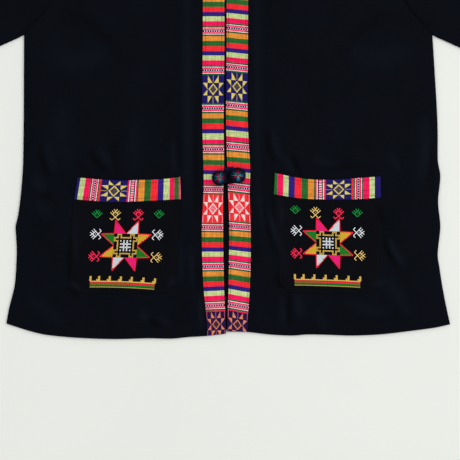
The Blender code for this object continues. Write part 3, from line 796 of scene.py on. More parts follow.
def inside(points, outline):
    """Even-odd test of the points in a closed outline."""
    odd = np.zeros(len(points), bool)
    for a, b in zip(outline, np.roll(outline, -1, axis=0)):
        if a[1] != b[1]:
            spans = (a[1] > points[:, 1]) != (b[1] > points[:, 1])
            crossing = a[0] + (points[:, 1] - a[1]) / (b[1] - a[1]) * (b[0] - a[0])
            odd ^= spans & (points[:, 0] < crossing)
    return odd


def moved_inward(line, distance, closed=True):
    """A counterclockwise outline moved inward, or a line moved to its left."""
    if closed:
        along = np.roll(line, -1, axis=0) - np.roll(line, 1, axis=0)
    else:
        along = np.gradient(line, axis=0)
    along /= np.linalg.norm(along, axis=1)[:, None]
    return line + np.column_stack([-along[:, 1], along[:, 0]]) * distance


def offset_grid(low, high, step):
    """Points in rows, every other row moved by half a step."""
    rows = []
    for k, y in enumerate(np.arange(low[1], high[1], step * math.sqrt(3) / 2)):
        xs = np.arange(low[0] + (step / 2 if k % 2 else 0), high[0], step)
        rows.append(np.column_stack([xs, np.full(len(xs), y)]))
    return np.vstack(rows)


def spread_over(outline, step):
    """Evenly spread points for fill, clear of the edge."""
    grid = offset_grid(outline.min(axis=0), outline.max(axis=0), step)
    return grid[distance_to(grid, outline, True) > EDGE_CLEARANCE * step]


def fill(outline, inner, lines=()):
    """Points and triangles inside an outline: inner points, a ring near the edge where the cloth
    rolls down, and lines that stay edges."""
    loose = np.vstack([*inner, moved_inward(outline, ROLL_WIDTH)])
    loose = loose[inside(loose, outline) & (distance_to(loose, outline, True) > 0.8 * ROLL_WIDTH)]
    points = [*outline, *loose]
    edges = []
    for line in lines:
        edges += [(len(points) + i, len(points) + i + 1) for i in range(len(line) - 1)]
        points += list(line)
    found = delaunay_2d_cdt([Vector(p) for p in points], edges, [list(range(len(outline)))], 1, 0.02)
    triangles = np.array(found[2])
    places = np.array([tuple(v) for v in found[0]])
    used, triangles = np.unique(triangles, return_inverse=True)
    return places[used], triangles.reshape(-1, 3)


def smoothstep(x):
    x = np.clip(x, 0, 1)
    return x * x * (3 - 2 * x)


def shell(name, points, triangles, upper, lower, material, weave=None, colours=None, crease_shading=None):
    """A closed thin piece between two heights. weave is the place on the cloth for the material, colours
    gives the two dye colours at the faces' middles, and the last argument is the creases' height for the
    painted highlight and shade."""
    count = len(points)
    verts = np.vstack([np.column_stack([points, upper]), np.column_stack([points, lower])]) * MM
    pairs = {(a, b) for tri in triangles.tolist() for a, b in zip(tri, tri[1:] + tri[:1])}
    rim = [(a, b, b + count, a + count)[::-1] for a, b in pairs if (b, a) not in pairs]
    faces = [*triangles.tolist(), *(triangles[:, ::-1] + count).tolist(), *sorted(rim)]
    mesh = bpy.data.meshes.new(name)
    mesh.from_pydata(verts.tolist(), [], faces)
    flat = points if weave is None else weave
    # The third value is the creases' height, from which the cotton paints highlight on ridges and shade in
    # troughs.
    place = np.column_stack([flat, np.zeros(count) if crease_shading is None else crease_shading])
    attribute = mesh.attributes.new("weave", "FLOAT_VECTOR", "POINT")
    attribute.data.foreach_set("vector", np.vstack([place, place]).ravel())
    if colours:
        middles = np.array([points[np.array(face) % count].mean(axis=0) for face in faces])
        sizes = [len(face) for face in faces]
        for key, values in zip(("first", "second"), colours(middles)):
            layer = mesh.color_attributes.new(key, "FLOAT_COLOR", "CORNER")
            layer.data.foreach_set("color", np.repeat(values, sizes, axis=0).ravel())
    return finished(name, mesh, material)


def finished(name, mesh, material):
    """An object at the origin with smooth shading and one material."""
    mesh.materials.clear()
    mesh.materials.append(material)
    mesh.shade_smooth()
    mesh.set_sharp_from_angle(angle=math.radians(55))
    made = bpy.data.objects.new(name, mesh)
    bpy.context.scene.collection.objects.link(made)
    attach(made, "root")
    return made


def along_crease(crease, points):
    """For each point, its distance from a crease and how far along it lies, from 0 to 1."""
    t = np.linspace(0, 1, 13)[:, None]
    line = ((1 - t) ** 2 * (crease.x0, crease.y0)
            + 2 * t * (1 - t) * (2 * crease.x1 - (crease.x0 + crease.x2) / 2,
                                 2 * crease.y1 - (crease.y0 + crease.y2) / 2)
            + t**2 * (crease.x2, crease.y2))
    best = np.full(len(points), np.inf)
    place = np.zeros(len(points))
    for i, (a, b) in enumerate(zip(line, line[1:])):
        run = b - a
        share = ((points - a) @ run) / (run @ run)
        share = np.clip(share, 0, 1)
        distance = np.hypot(*(points - a - share[:, None] * run).T)
        nearer = distance < best
        best = np.where(nearer, distance, best)
        place = np.where(nearer, (i + share) / (len(line) - 1), place)
    return best, place


class Surface:
    """Heights of a cloth's upper face, in mm, on a square grid: the solid's own folds made soft,
    then the creases and small waves."""

    def __init__(self, node, creases, seed):
        shape = merged_copy(node)
        tree = BVHTree.FromBMesh(shape)
        shape.free()
        low, high = (np.array(corner[:2]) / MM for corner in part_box(node))
        self.low = low - GRID_MARGIN * GRID_PITCH
        self.size = np.ceil((high - low) / GRID_PITCH + 2 * GRID_MARGIN).astype(int) + 1
        xs = self.low[0] + np.arange(self.size[0]) * GRID_PITCH
        ys = self.low[1] + np.arange(self.size[1]) * GRID_PITCH
        heights = np.full((len(ys), len(xs)), np.nan)
        for row, y in enumerate(ys):
            for column, x in enumerate(xs):
                hit = tree.ray_cast((x * MM, y * MM, 1.0), (0, 0, -1))[0]
                if hit:
                    heights[row, column] = hit.z / MM
        self.flat = np.nanmin(heights)
        heights = self.blurred(np.where(np.isnan(heights), self.flat, heights), SOLID_BLURS)
        points = np.array([(x, y) for y in ys for x in xs])
        detail = np.zeros(len(points))
        for crease in creases:
            distance, place = along_crease(crease, points)
            across = np.exp(-((distance / crease.width) ** 2) * CREASE_FALL)
            detail += crease.height * across * np.sin(np.pi * np.clip(place, 0, 1)) ** CREASE_FADE
        self.creased = detail.reshape(heights.shape).copy()
        for wavelength, height in WRINKLES:
            detail += height * np.array([
                noise.noise(Vector((x / wavelength, y / wavelength * WRINKLE_STRETCH, seed)))
                for x, y in points
            ])
        heights += detail.reshape(heights.shape)
        self.heights = np.maximum(heights, self.flat - LOWEST_DIP)

    @staticmethod
    def blurred(values, times):
        """The grid's heights, each made a mean of those around it."""
        for _ in range(times):
            padded = np.pad(values, len(BLUR) // 2, mode="edge")
            rows = sum(weight * padded[k:k + values.shape[0], :] for k, weight in enumerate(BLUR))
            values = sum(weight * rows[:, k:k + values.shape[1]] for k, weight in enumerate(BLUR))
        return values

    def crease_shading_at(self, points):
        """The creases' heights at points, above 0 on their ridges and below 0 in troughs, for the cloth's
        painted highlight and painted shade.
        """
        return self.at(points, self.creased)

    def at(self, points, grid=None):
        """Heights at points, between the grid's."""
        values = self.heights if grid is None else grid
        spot = (np.atleast_2d(points) - self.low) / GRID_PITCH
        spot = np.clip(spot, 0, self.size - 1.001)
        cell = spot.astype(int)
        t = spot - cell
        x, y = cell.T
        top = values[y, x] * (1 - t[:, 0]) + values[y, x + 1] * t[:, 0]
        low = values[y + 1, x] * (1 - t[:, 0]) + values[y + 1, x + 1] * t[:, 0]
        return top * (1 - t[:, 1]) + low * t[:, 1]


def rolled(distance, wall):
    """How far the upper face drops near a piece's edge."""
    return ROLL_DROP * wall * (1 - np.clip(distance / ROLL_WIDTH, 0, 1)) ** 2


def groove(distance, depth=GROOVE_DEPTH):
    """The dip along a line of stitches."""
    return depth * (1 - smoothstep(distance / GROOVE_WIDTH))


def beside(line, spread=GROOVE_WIDTH):
    """A stitch line and a line each side of it, as extra points for a groove."""
    return [line, moved_inward(line, spread, False), moved_inward(line, -spread, False)]


def polygon_area(line):
    x, y = line.T
    return 0.5 * abs(np.dot(x, np.roll(y, -1)) - np.dot(y, np.roll(x, -1)))


def declare_sheet(piece, outline, with_pieces=()):
    """Works out a flat piece's width, length and area from its outline, and keeps none of them."""
    width, length = np.ptp(outline, axis=0) * MM
    float(polygon_area(outline) * MM**2)
    list(with_pieces)


class Threads:
    """Collects the threads of one piece and lays them on a surface by Geometry Nodes."""

    def __init__(self, surface, lift, seed):
        self.surface = surface
        self.lift = lift
        self.random = random.Random(seed)
        self.list = []

    def add(self, x0, y0, x1, y1, width, colour, rise=0.0):
        self.list.append((x0, y0, x1, y1, width, rise, *linear(colour)))

    def stitches(self, line, colour):
        """A row of running stitches along a line."""
        along = np.concatenate([[0.0], np.cumsum(np.hypot(*np.diff(line, axis=0).T))])
        for start in np.arange(STITCH_START, along[-1] - STITCH_LENGTH, STITCH_PITCH):
            start += self.random.uniform(-STITCH_WANDER, STITCH_WANDER)
            ends = [[np.interp(at, along, line[:, k]) for k in (0, 1)]
                    for at in (start, start + STITCH_LENGTH)]
            self.add(*ends[0], *ends[1], STITCH_WIDTH, colour)

    def stroke(self, start, end, width, colour):
        """A solid line of close stitches, two side by side."""
        start, end = np.array(start), np.array(end)
        run = end - start
        length = np.hypot(*run)
        side = np.array([-run[1], run[0]]) / length * width / 4
        count = max(1, round(length / STROKE_STITCH))
        for k in range(count):
            a, b = start + run * k / count, start + run * (k + 1) / count
            for way in (-1, 1):
                self.add(*(a + way * side), *(b + way * side), width * STROKE_COVER, colour)

    def cross(self, x, y, size, colour, plane=None, cover=FILL_COVER):
        """One cross-stitch; plane turns its own directions into the cloth's, and cover is the
        thread's width as a share of the stitch."""
        half = size * CROSS_REACH
        for rise, way in ((0.0, 1), (UPPER_LEG_RISE, -1)):
            ends = [(x - half, y - way * half), (x + half, y + way * half)]
            if plane:
                ends = [plane(*end) for end in ends]
            self.add(*ends[0], *ends[1], size * cover, colour, rise)

    def lay(self, name, material):
        """The threads as one piece."""
        rows = np.array(self.list)
        starts, ends = rows[:, 0:2], rows[:, 2:4]
        heights = [self.surface.at(end) + self.lift for end in (starts, ends)]
        run = ends - starts
        length = np.hypot(*run.T)
        count = len(rows)
        middles = np.column_stack([(starts + ends) / 2, (heights[0] + heights[1]) / 2])
        middles[:, 2] += THREAD_LIFT + rows[:, 5]
        turns = np.column_stack([np.zeros(count), -np.arctan2(heights[1] - heights[0], length),
                                 np.arctan2(run[:, 1], run[:, 0])])
        width = rows[:, 4]
        tall = np.minimum(width, TALLEST_FROM) * THREAD_HEIGHT
        sizes = np.column_stack([length + THREAD_OVERLAP, width, tall]) * MM
        mesh = bpy.data.meshes.new(name)
        mesh.from_pydata((middles * MM).tolist(), [], [])
        for key, values in (("turn", turns), ("size", sizes)):
            mesh.attributes.new(key, "FLOAT_VECTOR", "POINT").data.foreach_set("vector", values.ravel())
        tones = mesh.attributes.new("thread_colour", "FLOAT_COLOR", "POINT")
        tones.data.foreach_set("color", rows[:, 6:10].ravel())
        carrier = bpy.data.objects.new(name + "_points", mesh)
        bpy.context.scene.collection.objects.link(carrier)
        maker = carrier.modifiers.new("threads", "NODES")
        maker.node_group = THREAD_TREE
        maker[THREAD_TREE.interface.items_tree["Thread shape"].identifier] = THREAD_SHAPE
        maker[THREAD_TREE.interface.items_tree["Finish"].identifier] = material
        depsgraph = bpy.context.evaluated_depsgraph_get()
        made = bpy.data.meshes.new_from_object(carrier.evaluated_get(depsgraph))
        bpy.data.objects.remove(carrier)
        for key in ("turn", "size"):
            if key in made.attributes:
                made.attributes.remove(made.attributes[key])
        made.name = name
        return finished(name, made, material)


def thread_shape():
    """A closed bar of unit size with pointed ends, along X."""
    sides = 5
    verts = [(-0.5, 0, 0)]
    for x in (-0.40, 0.40):
        for k in range(sides):
            angle = math.tau * (k + 0.25) / sides
            verts.append((x, 0.5 * math.cos(angle), 0.5 * math.sin(angle)))
    verts.append((0.5, 0, 0))
    last = len(verts) - 1
    faces = []
    for k in range(sides):
        a, b = 1 + k, 1 + (k + 1) % sides
        faces += [(0, b, a), (a, b, b + sides, a + sides), (last, a + sides, b + sides)]
    mesh = bpy.data.meshes.new("thread_shape")
    mesh.from_pydata(verts, [], faces)
    mesh.shade_smooth()
    return bpy.data.objects.new("thread_shape", mesh)


def thread_tree():
    """Geometry Nodes that put the thread shape on points with their own turn, size and colour."""
    tree = bpy.data.node_groups.new("threads_on_points", "GeometryNodeTree")
    for name, way, kind in (("Points", "INPUT", "Geometry"), ("Thread shape", "INPUT", "Object"),
                            ("Finish", "INPUT", "Material"), ("Threads", "OUTPUT", "Geometry")):
        tree.interface.new_socket(name, in_out=way, socket_type="NodeSocket" + kind)
    start = add_node(tree, "NodeGroupInput")
    shape = add_node(tree, "GeometryNodeObjectInfo", {"Object": start.outputs["Thread shape"]})
    turn = add_node(tree, "GeometryNodeInputNamedAttribute", {"Name": "turn"}, data_type="FLOAT_VECTOR")
    size = add_node(tree, "GeometryNodeInputNamedAttribute", {"Name": "size"}, data_type="FLOAT_VECTOR")
    rotation = add_node(tree, "FunctionNodeEulerToRotation", {0: turn.outputs["Attribute"]})
    placed = add_node(tree, "GeometryNodeInstanceOnPoints",
                      {"Points": start.outputs["Points"], "Instance": shape.outputs["Geometry"],
                       "Rotation": rotation.outputs[0], "Scale": size.outputs["Attribute"]})
    real = add_node(tree, "GeometryNodeRealizeInstances", {"Geometry": placed.outputs[0]})
    done = add_node(tree, "GeometryNodeSetMaterial",
                    {"Geometry": real.outputs[0], "Material": start.outputs["Finish"]})
    add_node(tree, "NodeGroupOutput", {0: done.outputs[0]})
    return tree


THREAD_SHAPE = thread_shape()
THREAD_TREE = thread_tree()


class Band:
    """A woven band's own directions: across from its middle line, and along its length."""

    def __init__(self, node, sideways, stripes, start, lean):
        self.outline = moved_inward(smooth_closed(plan_outline(node)), BAND_INSET)
        self.sideways = sideways
        self.stripes = stripes
        self.ends = start + np.cumsum([0.0] + [stripe.width for stripe in stripes])
        self.lean = lean
        line = self.turned(self.outline)
        self.levels = np.arange(line[:, 1].min() + 9, line[:, 1].max() - 9, 6.0)
        sides = np.array([self.sides_at(line, level) for level in self.levels])
        self.middles = sides.mean(axis=1)
        self.half_widths = np.ptp(sides, axis=1) / 2

    def turned(self, points):
        return points[:, ::-1] if self.sideways else points

    @staticmethod
    def sides_at(line, level):
        found = []
        for a, b in zip(line, np.roll(line, -1, axis=0)):
            if (a[1] > level) != (b[1] > level):
                found.append(a[0] + (level - a[1]) / (b[1] - a[1]) * (b[0] - a[0]))
        return min(found), max(found)

    def middle(self, level):
        return np.interp(level, self.levels, self.middles)

    def half_width(self, level):
        return np.interp(level, self.levels, self.half_widths)

    def lean_at(self, level):
        return np.interp(level, *zip(*self.lean))

    def place_of(self, points):
        """Across and along for points of the plan."""
        flat = self.turned(points)
        across = flat[:, 0] - self.middle(flat[:, 1])
        return np.column_stack([across, flat[:, 1] - self.lean_at(flat[:, 1]) * across])

    def at(self, across, along):
        """Points of the plan from across and along."""
        level = along + self.lean_at(along) * across
        return self.turned(np.column_stack([self.middle(level) + across, level]))

    def dyes(self, points):
        """The two thread colours at points of the plan."""
        along = self.place_of(points)[:, 1]
        which = np.clip(np.searchsorted(self.ends, along, side="right") - 1, 0, len(self.stripes) - 1)
        first = np.array([linear(stripe.colour) for stripe in self.stripes])
        second = np.array([
            linear(stripe.colour if stripe.second in (None, *STAR_YARNS) else stripe.second)
            for stripe in self.stripes
        ])
        # The first colour's alpha puts the pink dots between the white ones
        first[:, 3] = [stripe.second == "pale_pink" for stripe in self.stripes]
        return first[which], second[which]

    def rows(self):
        """Lines across at each stripe's start, and loose points between them."""
        lines, loose = [], []
        for stripe, low in zip(self.stripes, self.ends):
            count = max(1, round(stripe.width / BAND_STEP))
            for k in range(count):
                along = low + stripe.width * k / count
                reach = self.half_width(along) + 2
                across = np.linspace(-reach, reach, 15) + (1.1 if k % 2 else 0.0)
                points = self.at(across, np.full(15, along))
                if k:
                    loose.append(points)
                else:
                    lines.append(points)
        low, high = self.outline.min(axis=0) - 3, self.outline.max(axis=0) + 3
        lines = [line for line in lines if ((line > low) & (line < high)).all(axis=1).any()]
        return lines, np.vstack(loose)

    def stitch_lines(self, inset):
        """The two lines of topstitching beside the edges."""
        levels = np.arange(self.levels[0] - 5, self.levels[-1] + 5, 3.0)
        return [self.turned(np.column_stack([self.middle(levels) + way * (self.half_width(levels) - inset),
                                             levels])) for way in (-1, 1)]


def star_part(across, along, diamond):
    """Which yarn a star shows at a place, both from 0 in the middle to 1 at the stripe's edge."""
    if STAR_EDGE[0] < across < STAR_EDGE[1] and along > 0.5:
        return "edge"
    if along > STAR_SQUARE:
        out = (along - STAR_SQUARE) / END_POINT
        if across < END_RAY[0] and out > END_RAY[1]:
            return "rays"
        inner, outer = (start + slope * out for start, slope in END_POINT_SIDES)
        if out <= 1 and inner < across < outer:
            return "points"
    if SIDE_RAY[0] < across < SIDE_RAY[1] and along < SIDE_RAY_HALF:
        return "rays"
    if SIDE_SQUARE < across < SIDE_POINT_END:
        inner = SIDE_POINT_INNER[0] + SIDE_POINT_INNER[1] * (across - SIDE_SQUARE)
        if inner < along < SIDE_POINT_OUTER:
            return "points"
    ring = across / diamond + along / DIAMOND_LENGTH
    if DIAMOND_RING < ring < 1:
        return "points"
    inner, outer, rim = HATCH_RINGS
    if ring < inner or outer < ring < rim:
        return "hatch"
    return None


def weave_stars(band, threads):
    """Brocade floats of each star in rows across the band."""
    for stripe, low in zip(band.stripes, band.ends):
        if stripe.second not in STAR_YARNS:
            continue
        yarns = STAR_YARNS[stripe.second]._asdict()
        diamond = DIAMOND["pocket" if band.sideways else "front"]
        centre = low + stripe.width / 2
        for along in np.arange(low + 0.5, low + stripe.width, BROCADE_PITCH):
            half = band.half_width(along)
            steps = np.arange(-half + 0.4, half - 0.3, FLOAT_STEP)
            parts = [star_part(abs(a) / half, abs(along - centre) / (stripe.width / 2), diamond)
                     for a in steps]
            parts = [part if part and yarns[part] else None for part in parts]
            begin = 0
            for k in range(1, len(steps) + 1):
                if (k < len(steps) and parts[k] == parts[begin]
                        and steps[k] - steps[begin] <= LONGEST_FLOAT):
                    continue
                if parts[begin]:
                    across = np.array([steps[begin] - FLOAT_OVERLAP, steps[k - 1] + FLOAT_OVERLAP])
                    ends = band.at(across, np.full(2, along))
                    if inside(ends, band.outline).all():
                        threads.add(*ends[0], *ends[1], FLOAT_WIDTH, yarns[parts[begin]])
                begin = k


def make_band(name, node, band, surface, layers, inset, seed):
    """A woven band with its stars and topstitching; returns the band and its threads."""
    lines, loose = band.rows()
    stitch_lines = band.stitch_lines(inset)
    grooves = [side for line in stitch_lines for side in beside(line, BAND_GROOVE_SPREAD)]
    points, triangles = fill(band.outline, [loose, *grooves], lines)
    height = surface.at(points) + LAYER * layers
    from_edge = distance_to(points, band.outline, True)
    dips = sum(groove(distance_to(points, line)) for line in stitch_lines)
    upper = height - rolled(from_edge, SEWN_WALL) - dips
    cloth = shell(name, points, triangles, upper, height - SEWN_WALL, MATERIALS["band"],
                  band.place_of(points), band.dyes)
    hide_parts(node)
    threads = Threads(surface, LAYER * layers, seed)
    weave_stars(band, threads)
    stars = threads.lay(name + "_stars", MATERIALS["thread"])
    sewing = Threads(surface, LAYER * layers - BAND_STITCH_SINK, seed + 1)
    for line in stitch_lines:
        sewing.stitches(line, "topstitch")
    rows = sewing.lay(name + "_topstitching", MATERIALS["thread"])
    return cloth, [stars, rows]


def make_front(side, surface, seed):
    """A front with its side edge pressed down on the back, a stitched hem and a stitched neckline."""
    way = 1 if side == "left" else -1
    outline = smooth_closed(plan_outline(f"front_{side}"))
    hem_edge = stretch_of(outline, lambda p: p[1] < HEM_BELOW_Y)
    neck_edge = stretch_of(outline, lambda p: p[1] > NECK_ABOVE_Y and abs(p[0]) < NECK_WITHIN_X)
    hem = moved_inward(hem_edge, HEM_WIDTH, False)[HEM_ENDS:-HEM_ENDS]
    neck = moved_inward(neck_edge, NECK_HEM_WIDTH, False)[NECK_ENDS:-NECK_ENDS]
    grid = spread_over(outline, CLOTH_STEP)
    points, triangles = fill(outline, [grid, *beside(hem), *beside(neck)])
    height = surface.at(points)
    side_edge = stretch_of(outline, lambda p: p[0] * way > SIDE_BEYOND_X and p[1] < SIDE_BELOW_Y)
    pressed = PRESS_DEPTH * (1 - smoothstep(distance_to(points, side_edge) / PRESS_WIDTH))
    from_edge = distance_to(points, outline, True)
    dips = groove(distance_to(points, hem)) + groove(distance_to(points, neck))
    upper = height - pressed - rolled(from_edge, CLOTH_WALL) - dips
    # The creases' heights go to the material, which paints highlight on their ridges and shade in their
    # troughs.
    cloth = shell(f"front_cloth_{side}", points, triangles, upper, height - CLOTH_WALL - pressed,
                  MATERIALS["cloth"], crease_shading=surface.crease_shading_at(points))
    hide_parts(f"front_{side}")
    sewing = Threads(surface, -HEM_STITCH_SINK, seed)
    sewing.stitches(hem, "black_thread")
    sewing.stitches(neck, "black_thread")
    rows = sewing.lay(f"hem_stitches_{side}", MATERIALS["thread"])
    return cloth, outline, [rows]


def make_back():
    """The back, flat on the table."""
    outline = smooth_closed(plan_outline("back"))
    points, triangles = fill(outline, [spread_over(outline, BACK_STEP)])
    upper = BACK_TOP - rolled(distance_to(points, outline, True), CLOTH_WALL)
    cloth = shell("back_cloth", points, triangles, upper, np.zeros(len(points)), MATERIALS["cloth"])
    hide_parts("back")
    declare_sheet(cloth, outline)
    return cloth


def star_triangles():
    """The eight triangles clockwise from the top's right one, in the star's own directions."""
    pair = [np.array([(POINT_GAP, MIDDLE_HALF), (MIDDLE_HALF, MIDDLE_HALF), STAR_TIP])]
    pair.append(pair[0][:, ::-1])
    made = []
    for _ in range(4):
        made += pair
        pair = [corners[:, ::-1] * (1, -1) for corners in pair]
    return made


def square_grid(low, high, step):
    """Grid points that are whole steps from the origin."""
    axes = [np.arange(math.floor(a / step), math.ceil(b / step) + 1) * step for a, b in zip(low, high)]
    return np.array([(x, y) for x in axes[0] for y in axes[1]])


def stitch_chart(work, chart, colour, plane):
    """Cross-stitches for each marked cell of a chart that is centred on the star."""
    middle = len(chart) // 2
    size = CELL * CELL_COVER / CELL_STITCHES
    offset = size / 2
    for row, line in enumerate(chart):
        for column, mark in enumerate(line):
            if mark == ".":
                continue
            for du in (-offset, offset):
                for dw in (-offset, offset):
                    work.cross((column - middle) * CELL + du, (middle - row) * CELL + dw,
                               size, colour, plane, CHART_COVER)


def stitch_border(work, border, lean):
    """The pocket's lower border: stepped towers on a gold line, then red, green and gold lines."""
    half = border.half_width

    def plane(u, w):
        return border.x + u + lean * w, border.y + w + border.slope * u + border.bend * u * u

    for drop, width, colour in BORDER_LINES:
        for u in np.linspace(-half, half, 2 * BORDER_PIECES + 1)[:-1]:
            work.stroke(plane(u, -drop), plane(u + half / BORDER_PIECES, -drop), width, colour)
    for number, u in enumerate(TOWERS):
        u *= half / TOWERS[-1]
        for shift, width, height in TOWER_STEPS[: 1 if number == 0 else 2]:
            for column in (-width / 4, width / 4):
                for w in np.arange(TOWER_FOOT, height + 0.5, TOWER_PITCH):
                    work.cross(u + shift + column, w, width / 2, "stitch_gold", plane, CHART_COVER)


def embroider(side, surface, seed):
    """A pocket's cross-stitched star, hooked motifs and border."""
    work = Threads(surface, LAYER, seed)
    star = POCKET_STAR[side]
    lean = POCKET_LEAN[side]
    slope = POCKET_SLOPE[side]

    def plane(u, w):
        return star[0] + u + lean * w, star[1] + w + slope * u

    for colour, corners in zip(TRIANGLE_COLOURS, star_triangles()):
        grid = square_grid(corners.min(axis=0), corners.max(axis=0), CROSS_PITCH)
        for u, w in grid[inside(grid, corners) & (distance_to(grid, corners, True) > FILL_CLEARANCE)]:
            work.cross(u, w, CROSS_PITCH, colour, plane)
        for base in corners[:2]:
            work.stroke(plane(*base), plane(*corners[2]), OUTLINE_STROKE, "outline_red")
    stitch_chart(work, FRAME_CHART + FRAME_CHART[-2::-1], "stitch_gold", plane)
    stitch_chart(work, MIDDLE_CHART, "stitch_white", plane)
    for motif in HOOKS[side]:
        angle = math.radians(motif.turn)
        turn = np.array([(math.cos(angle), math.sin(angle)), (-math.sin(angle), math.cos(angle))])
        for line in HOOK_LINES + (HOOK_LEGS if motif.legs else []):
            ends = np.array(line) * HOOK_SIZE @ turn
            ends = [(motif.x + u + lean * w, motif.y + w + slope * u) for u, w in ends]
            work.stroke(*ends, HOOK_STROKES[motif.colour], motif.colour)
        work.cross(motif.x, motif.y, HOOK_EYE, motif.colour)
    stitch_border(work, BORDERS[side], lean)
    made = work.lay(f"pocket_embroidery_{side}", MATERIALS["thread"])
    return made


def make_pocket(side, surface, seed):
    """A patch pocket, sewn down along its sides and bottom, with its embroidery."""
    outline = smooth_closed(plan_outline(f"pocket_{side}"))
    mouth = outline[:, 1].max() - POCKET_MOUTH
    seam = moved_inward(stretch_of(outline, lambda p: p[1] < mouth), POCKET_STITCH_INSET, False)
    grid = spread_over(outline, CLOTH_STEP)
    points, triangles = fill(outline, [grid, *beside(seam, POCKET_GROOVE_SPREAD)])
    height = surface.at(points) + LAYER
    from_edge = distance_to(points, outline, True)
    upper = height - rolled(from_edge, SEWN_WALL) - groove(distance_to(points, seam), POCKET_GROOVE_DEPTH)
    # The creases' heights go to the material, which paints highlight on their ridges and shade in their
    # troughs.
    cloth = shell(f"pocket_cloth_{side}", points, triangles, upper, height - SEWN_WALL,
                  MATERIALS["pocket"], points - POCKET_STAR[side], crease_shading=surface.crease_shading_at(points))
    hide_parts(f"pocket_{side}")
    sewing = Threads(surface, LAYER - POCKET_STITCH_SINK, seed)
    sewing.stitches(seam, "black_thread")
    rows = sewing.lay(f"pocket_stitches_{side}", MATERIALS["thread"])
    stitches = embroider(side, surface, seed + 1)
    return cloth, outline, [rows, stitches]


def mesh_with_colour(name, verts, faces, colour):
    """A mesh of yarn, with one colour or a colour for each point."""
    mesh = bpy.data.meshes.new(name)
    mesh.from_pydata((np.array(verts) * MM).tolist(), [], faces)
    layer = mesh.attributes.new("thread_colour", "FLOAT_COLOR", "POINT")
    values = np.array(colour, float)
    if values.ndim == 1:
        values = np.tile(values, (len(verts), 1))
    layer.data.foreach_set("color", values.ravel())
    return finished(name, mesh, MATERIALS["button"])


def tube_faces(rings, sides, start=0, closed=False):
    """Quads between the rings of a tube, and its two ends where it isn't closed."""
    faces = []
    for i in range(rings if closed else rings - 1):
        for k in range(sides):
            a, b = start + i * sides + k, start + i * sides + (k + 1) % sides
            c, d = start + (i + 1) % rings * sides + (k + 1) % sides, start + (i + 1) % rings * sides + k
            faces.append((a, b, c, d))
    if not closed:
        faces.append([start + k for k in range(sides)][::-1])
        faces.append([start + (rings - 1) * sides + k for k in range(sides)])
    return faces


def button_profile(points, radius, top):
    """Radii and heights of a button's points."""
    return [(point.mm + point.share * radius, top - point.drop) for point in points]


def make_button_core(side, middle, radius, base, top):
    """A button's dark core and its shank."""
    profile = [*button_profile(BUTTON_CORE, radius, top), (SHANK_RADIUS, base), (0, base)]
    verts = []
    for r, z in profile:
        r = max(r, CORE_POLE)
        for k in range(CORE_SIDES):
            angle = math.tau * k / CORE_SIDES
            verts.append((middle[0] + r * math.cos(angle), middle[1] + r * math.sin(angle), z))
    faces = [face[::-1] for face in tube_faces(len(profile), CORE_SIDES)]
    core = mesh_with_colour(f"button_core_{side}", verts, faces, linear(BUTTON_DARK))
    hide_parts(f"button_{side}")


def strand_dyes(side, angle):
    """A strand's colours near the middle and further out, by the hour that it points to."""
    clock = (90 - math.degrees(angle)) % 360 / 30
    off = min(abs((clock - hour + 6) % 12 - 6) for hour in TEAL_CLOCK[side])
    return [linear(name) for name in (BUTTON_TEAL if off < TEAL_HALF_WEDGE else BUTTON_MAGENTA)]


def make_button(side):
    """A domed button covered with radial yarn: a dark core and one strand beside the other."""
    low, high = (np.array(corner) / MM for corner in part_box(f"button_{side}"))
    cx, cy = (low[:2] + high[:2]) / 2
    radius, base, top = (high[0] - low[0]) / 2, low[2], high[2]
    make_button_core(side, (cx, cy), radius, base, top)
    path = np.array(button_profile(STRAND_PATH, radius, top))
    along = np.gradient(path, axis=0)
    along /= np.linalg.norm(along, axis=1)[:, None]
    rim = linear(BUTTON_EDGE)
    pick = random.Random(SHADE_SEED[side])
    verts, faces, colours = [], [], []
    for k in range(STRANDS):
        angle = math.tau * (k + 0.5) / STRANDS
        out = np.array([math.cos(angle), math.sin(angle), 0])
        aside = np.array([-math.sin(angle), math.cos(angle), 0])
        dyes = strand_dyes(side, angle)
        shade = pick.choice(STRAND_SHADES)
        start = len(verts)
        for (r, z), (run, rise) in zip(path, along):
            normal = -rise * out + run * np.array([0, 0, 1.0])
            width = max(THINNEST_STRAND, math.tau * r / STRANDS * STRAND_OVERLAP)
            middle = np.array([cx, cy, 0]) + r * out + np.array([0, 0, z])
            for n in range(STRAND_SIDES):
                turn = math.tau * n / STRAND_SIDES
                verts.append(middle + aside * width / 2 * math.cos(turn)
                             + normal * STRAND_HALF_HEIGHT * math.sin(turn))
                colours.append([
                    np.interp(r / radius, STRAND_FADE, (near * shade, near * shade, far * shade, edge))
                    for near, far, edge in zip(*dyes, rim)
                ])
        faces += tube_faces(len(path), STRAND_SIDES, start)
    strands = mesh_with_colour(f"button_yarn_{side}", verts, [face[::-1] for face in faces], colours)
    return cx, cy


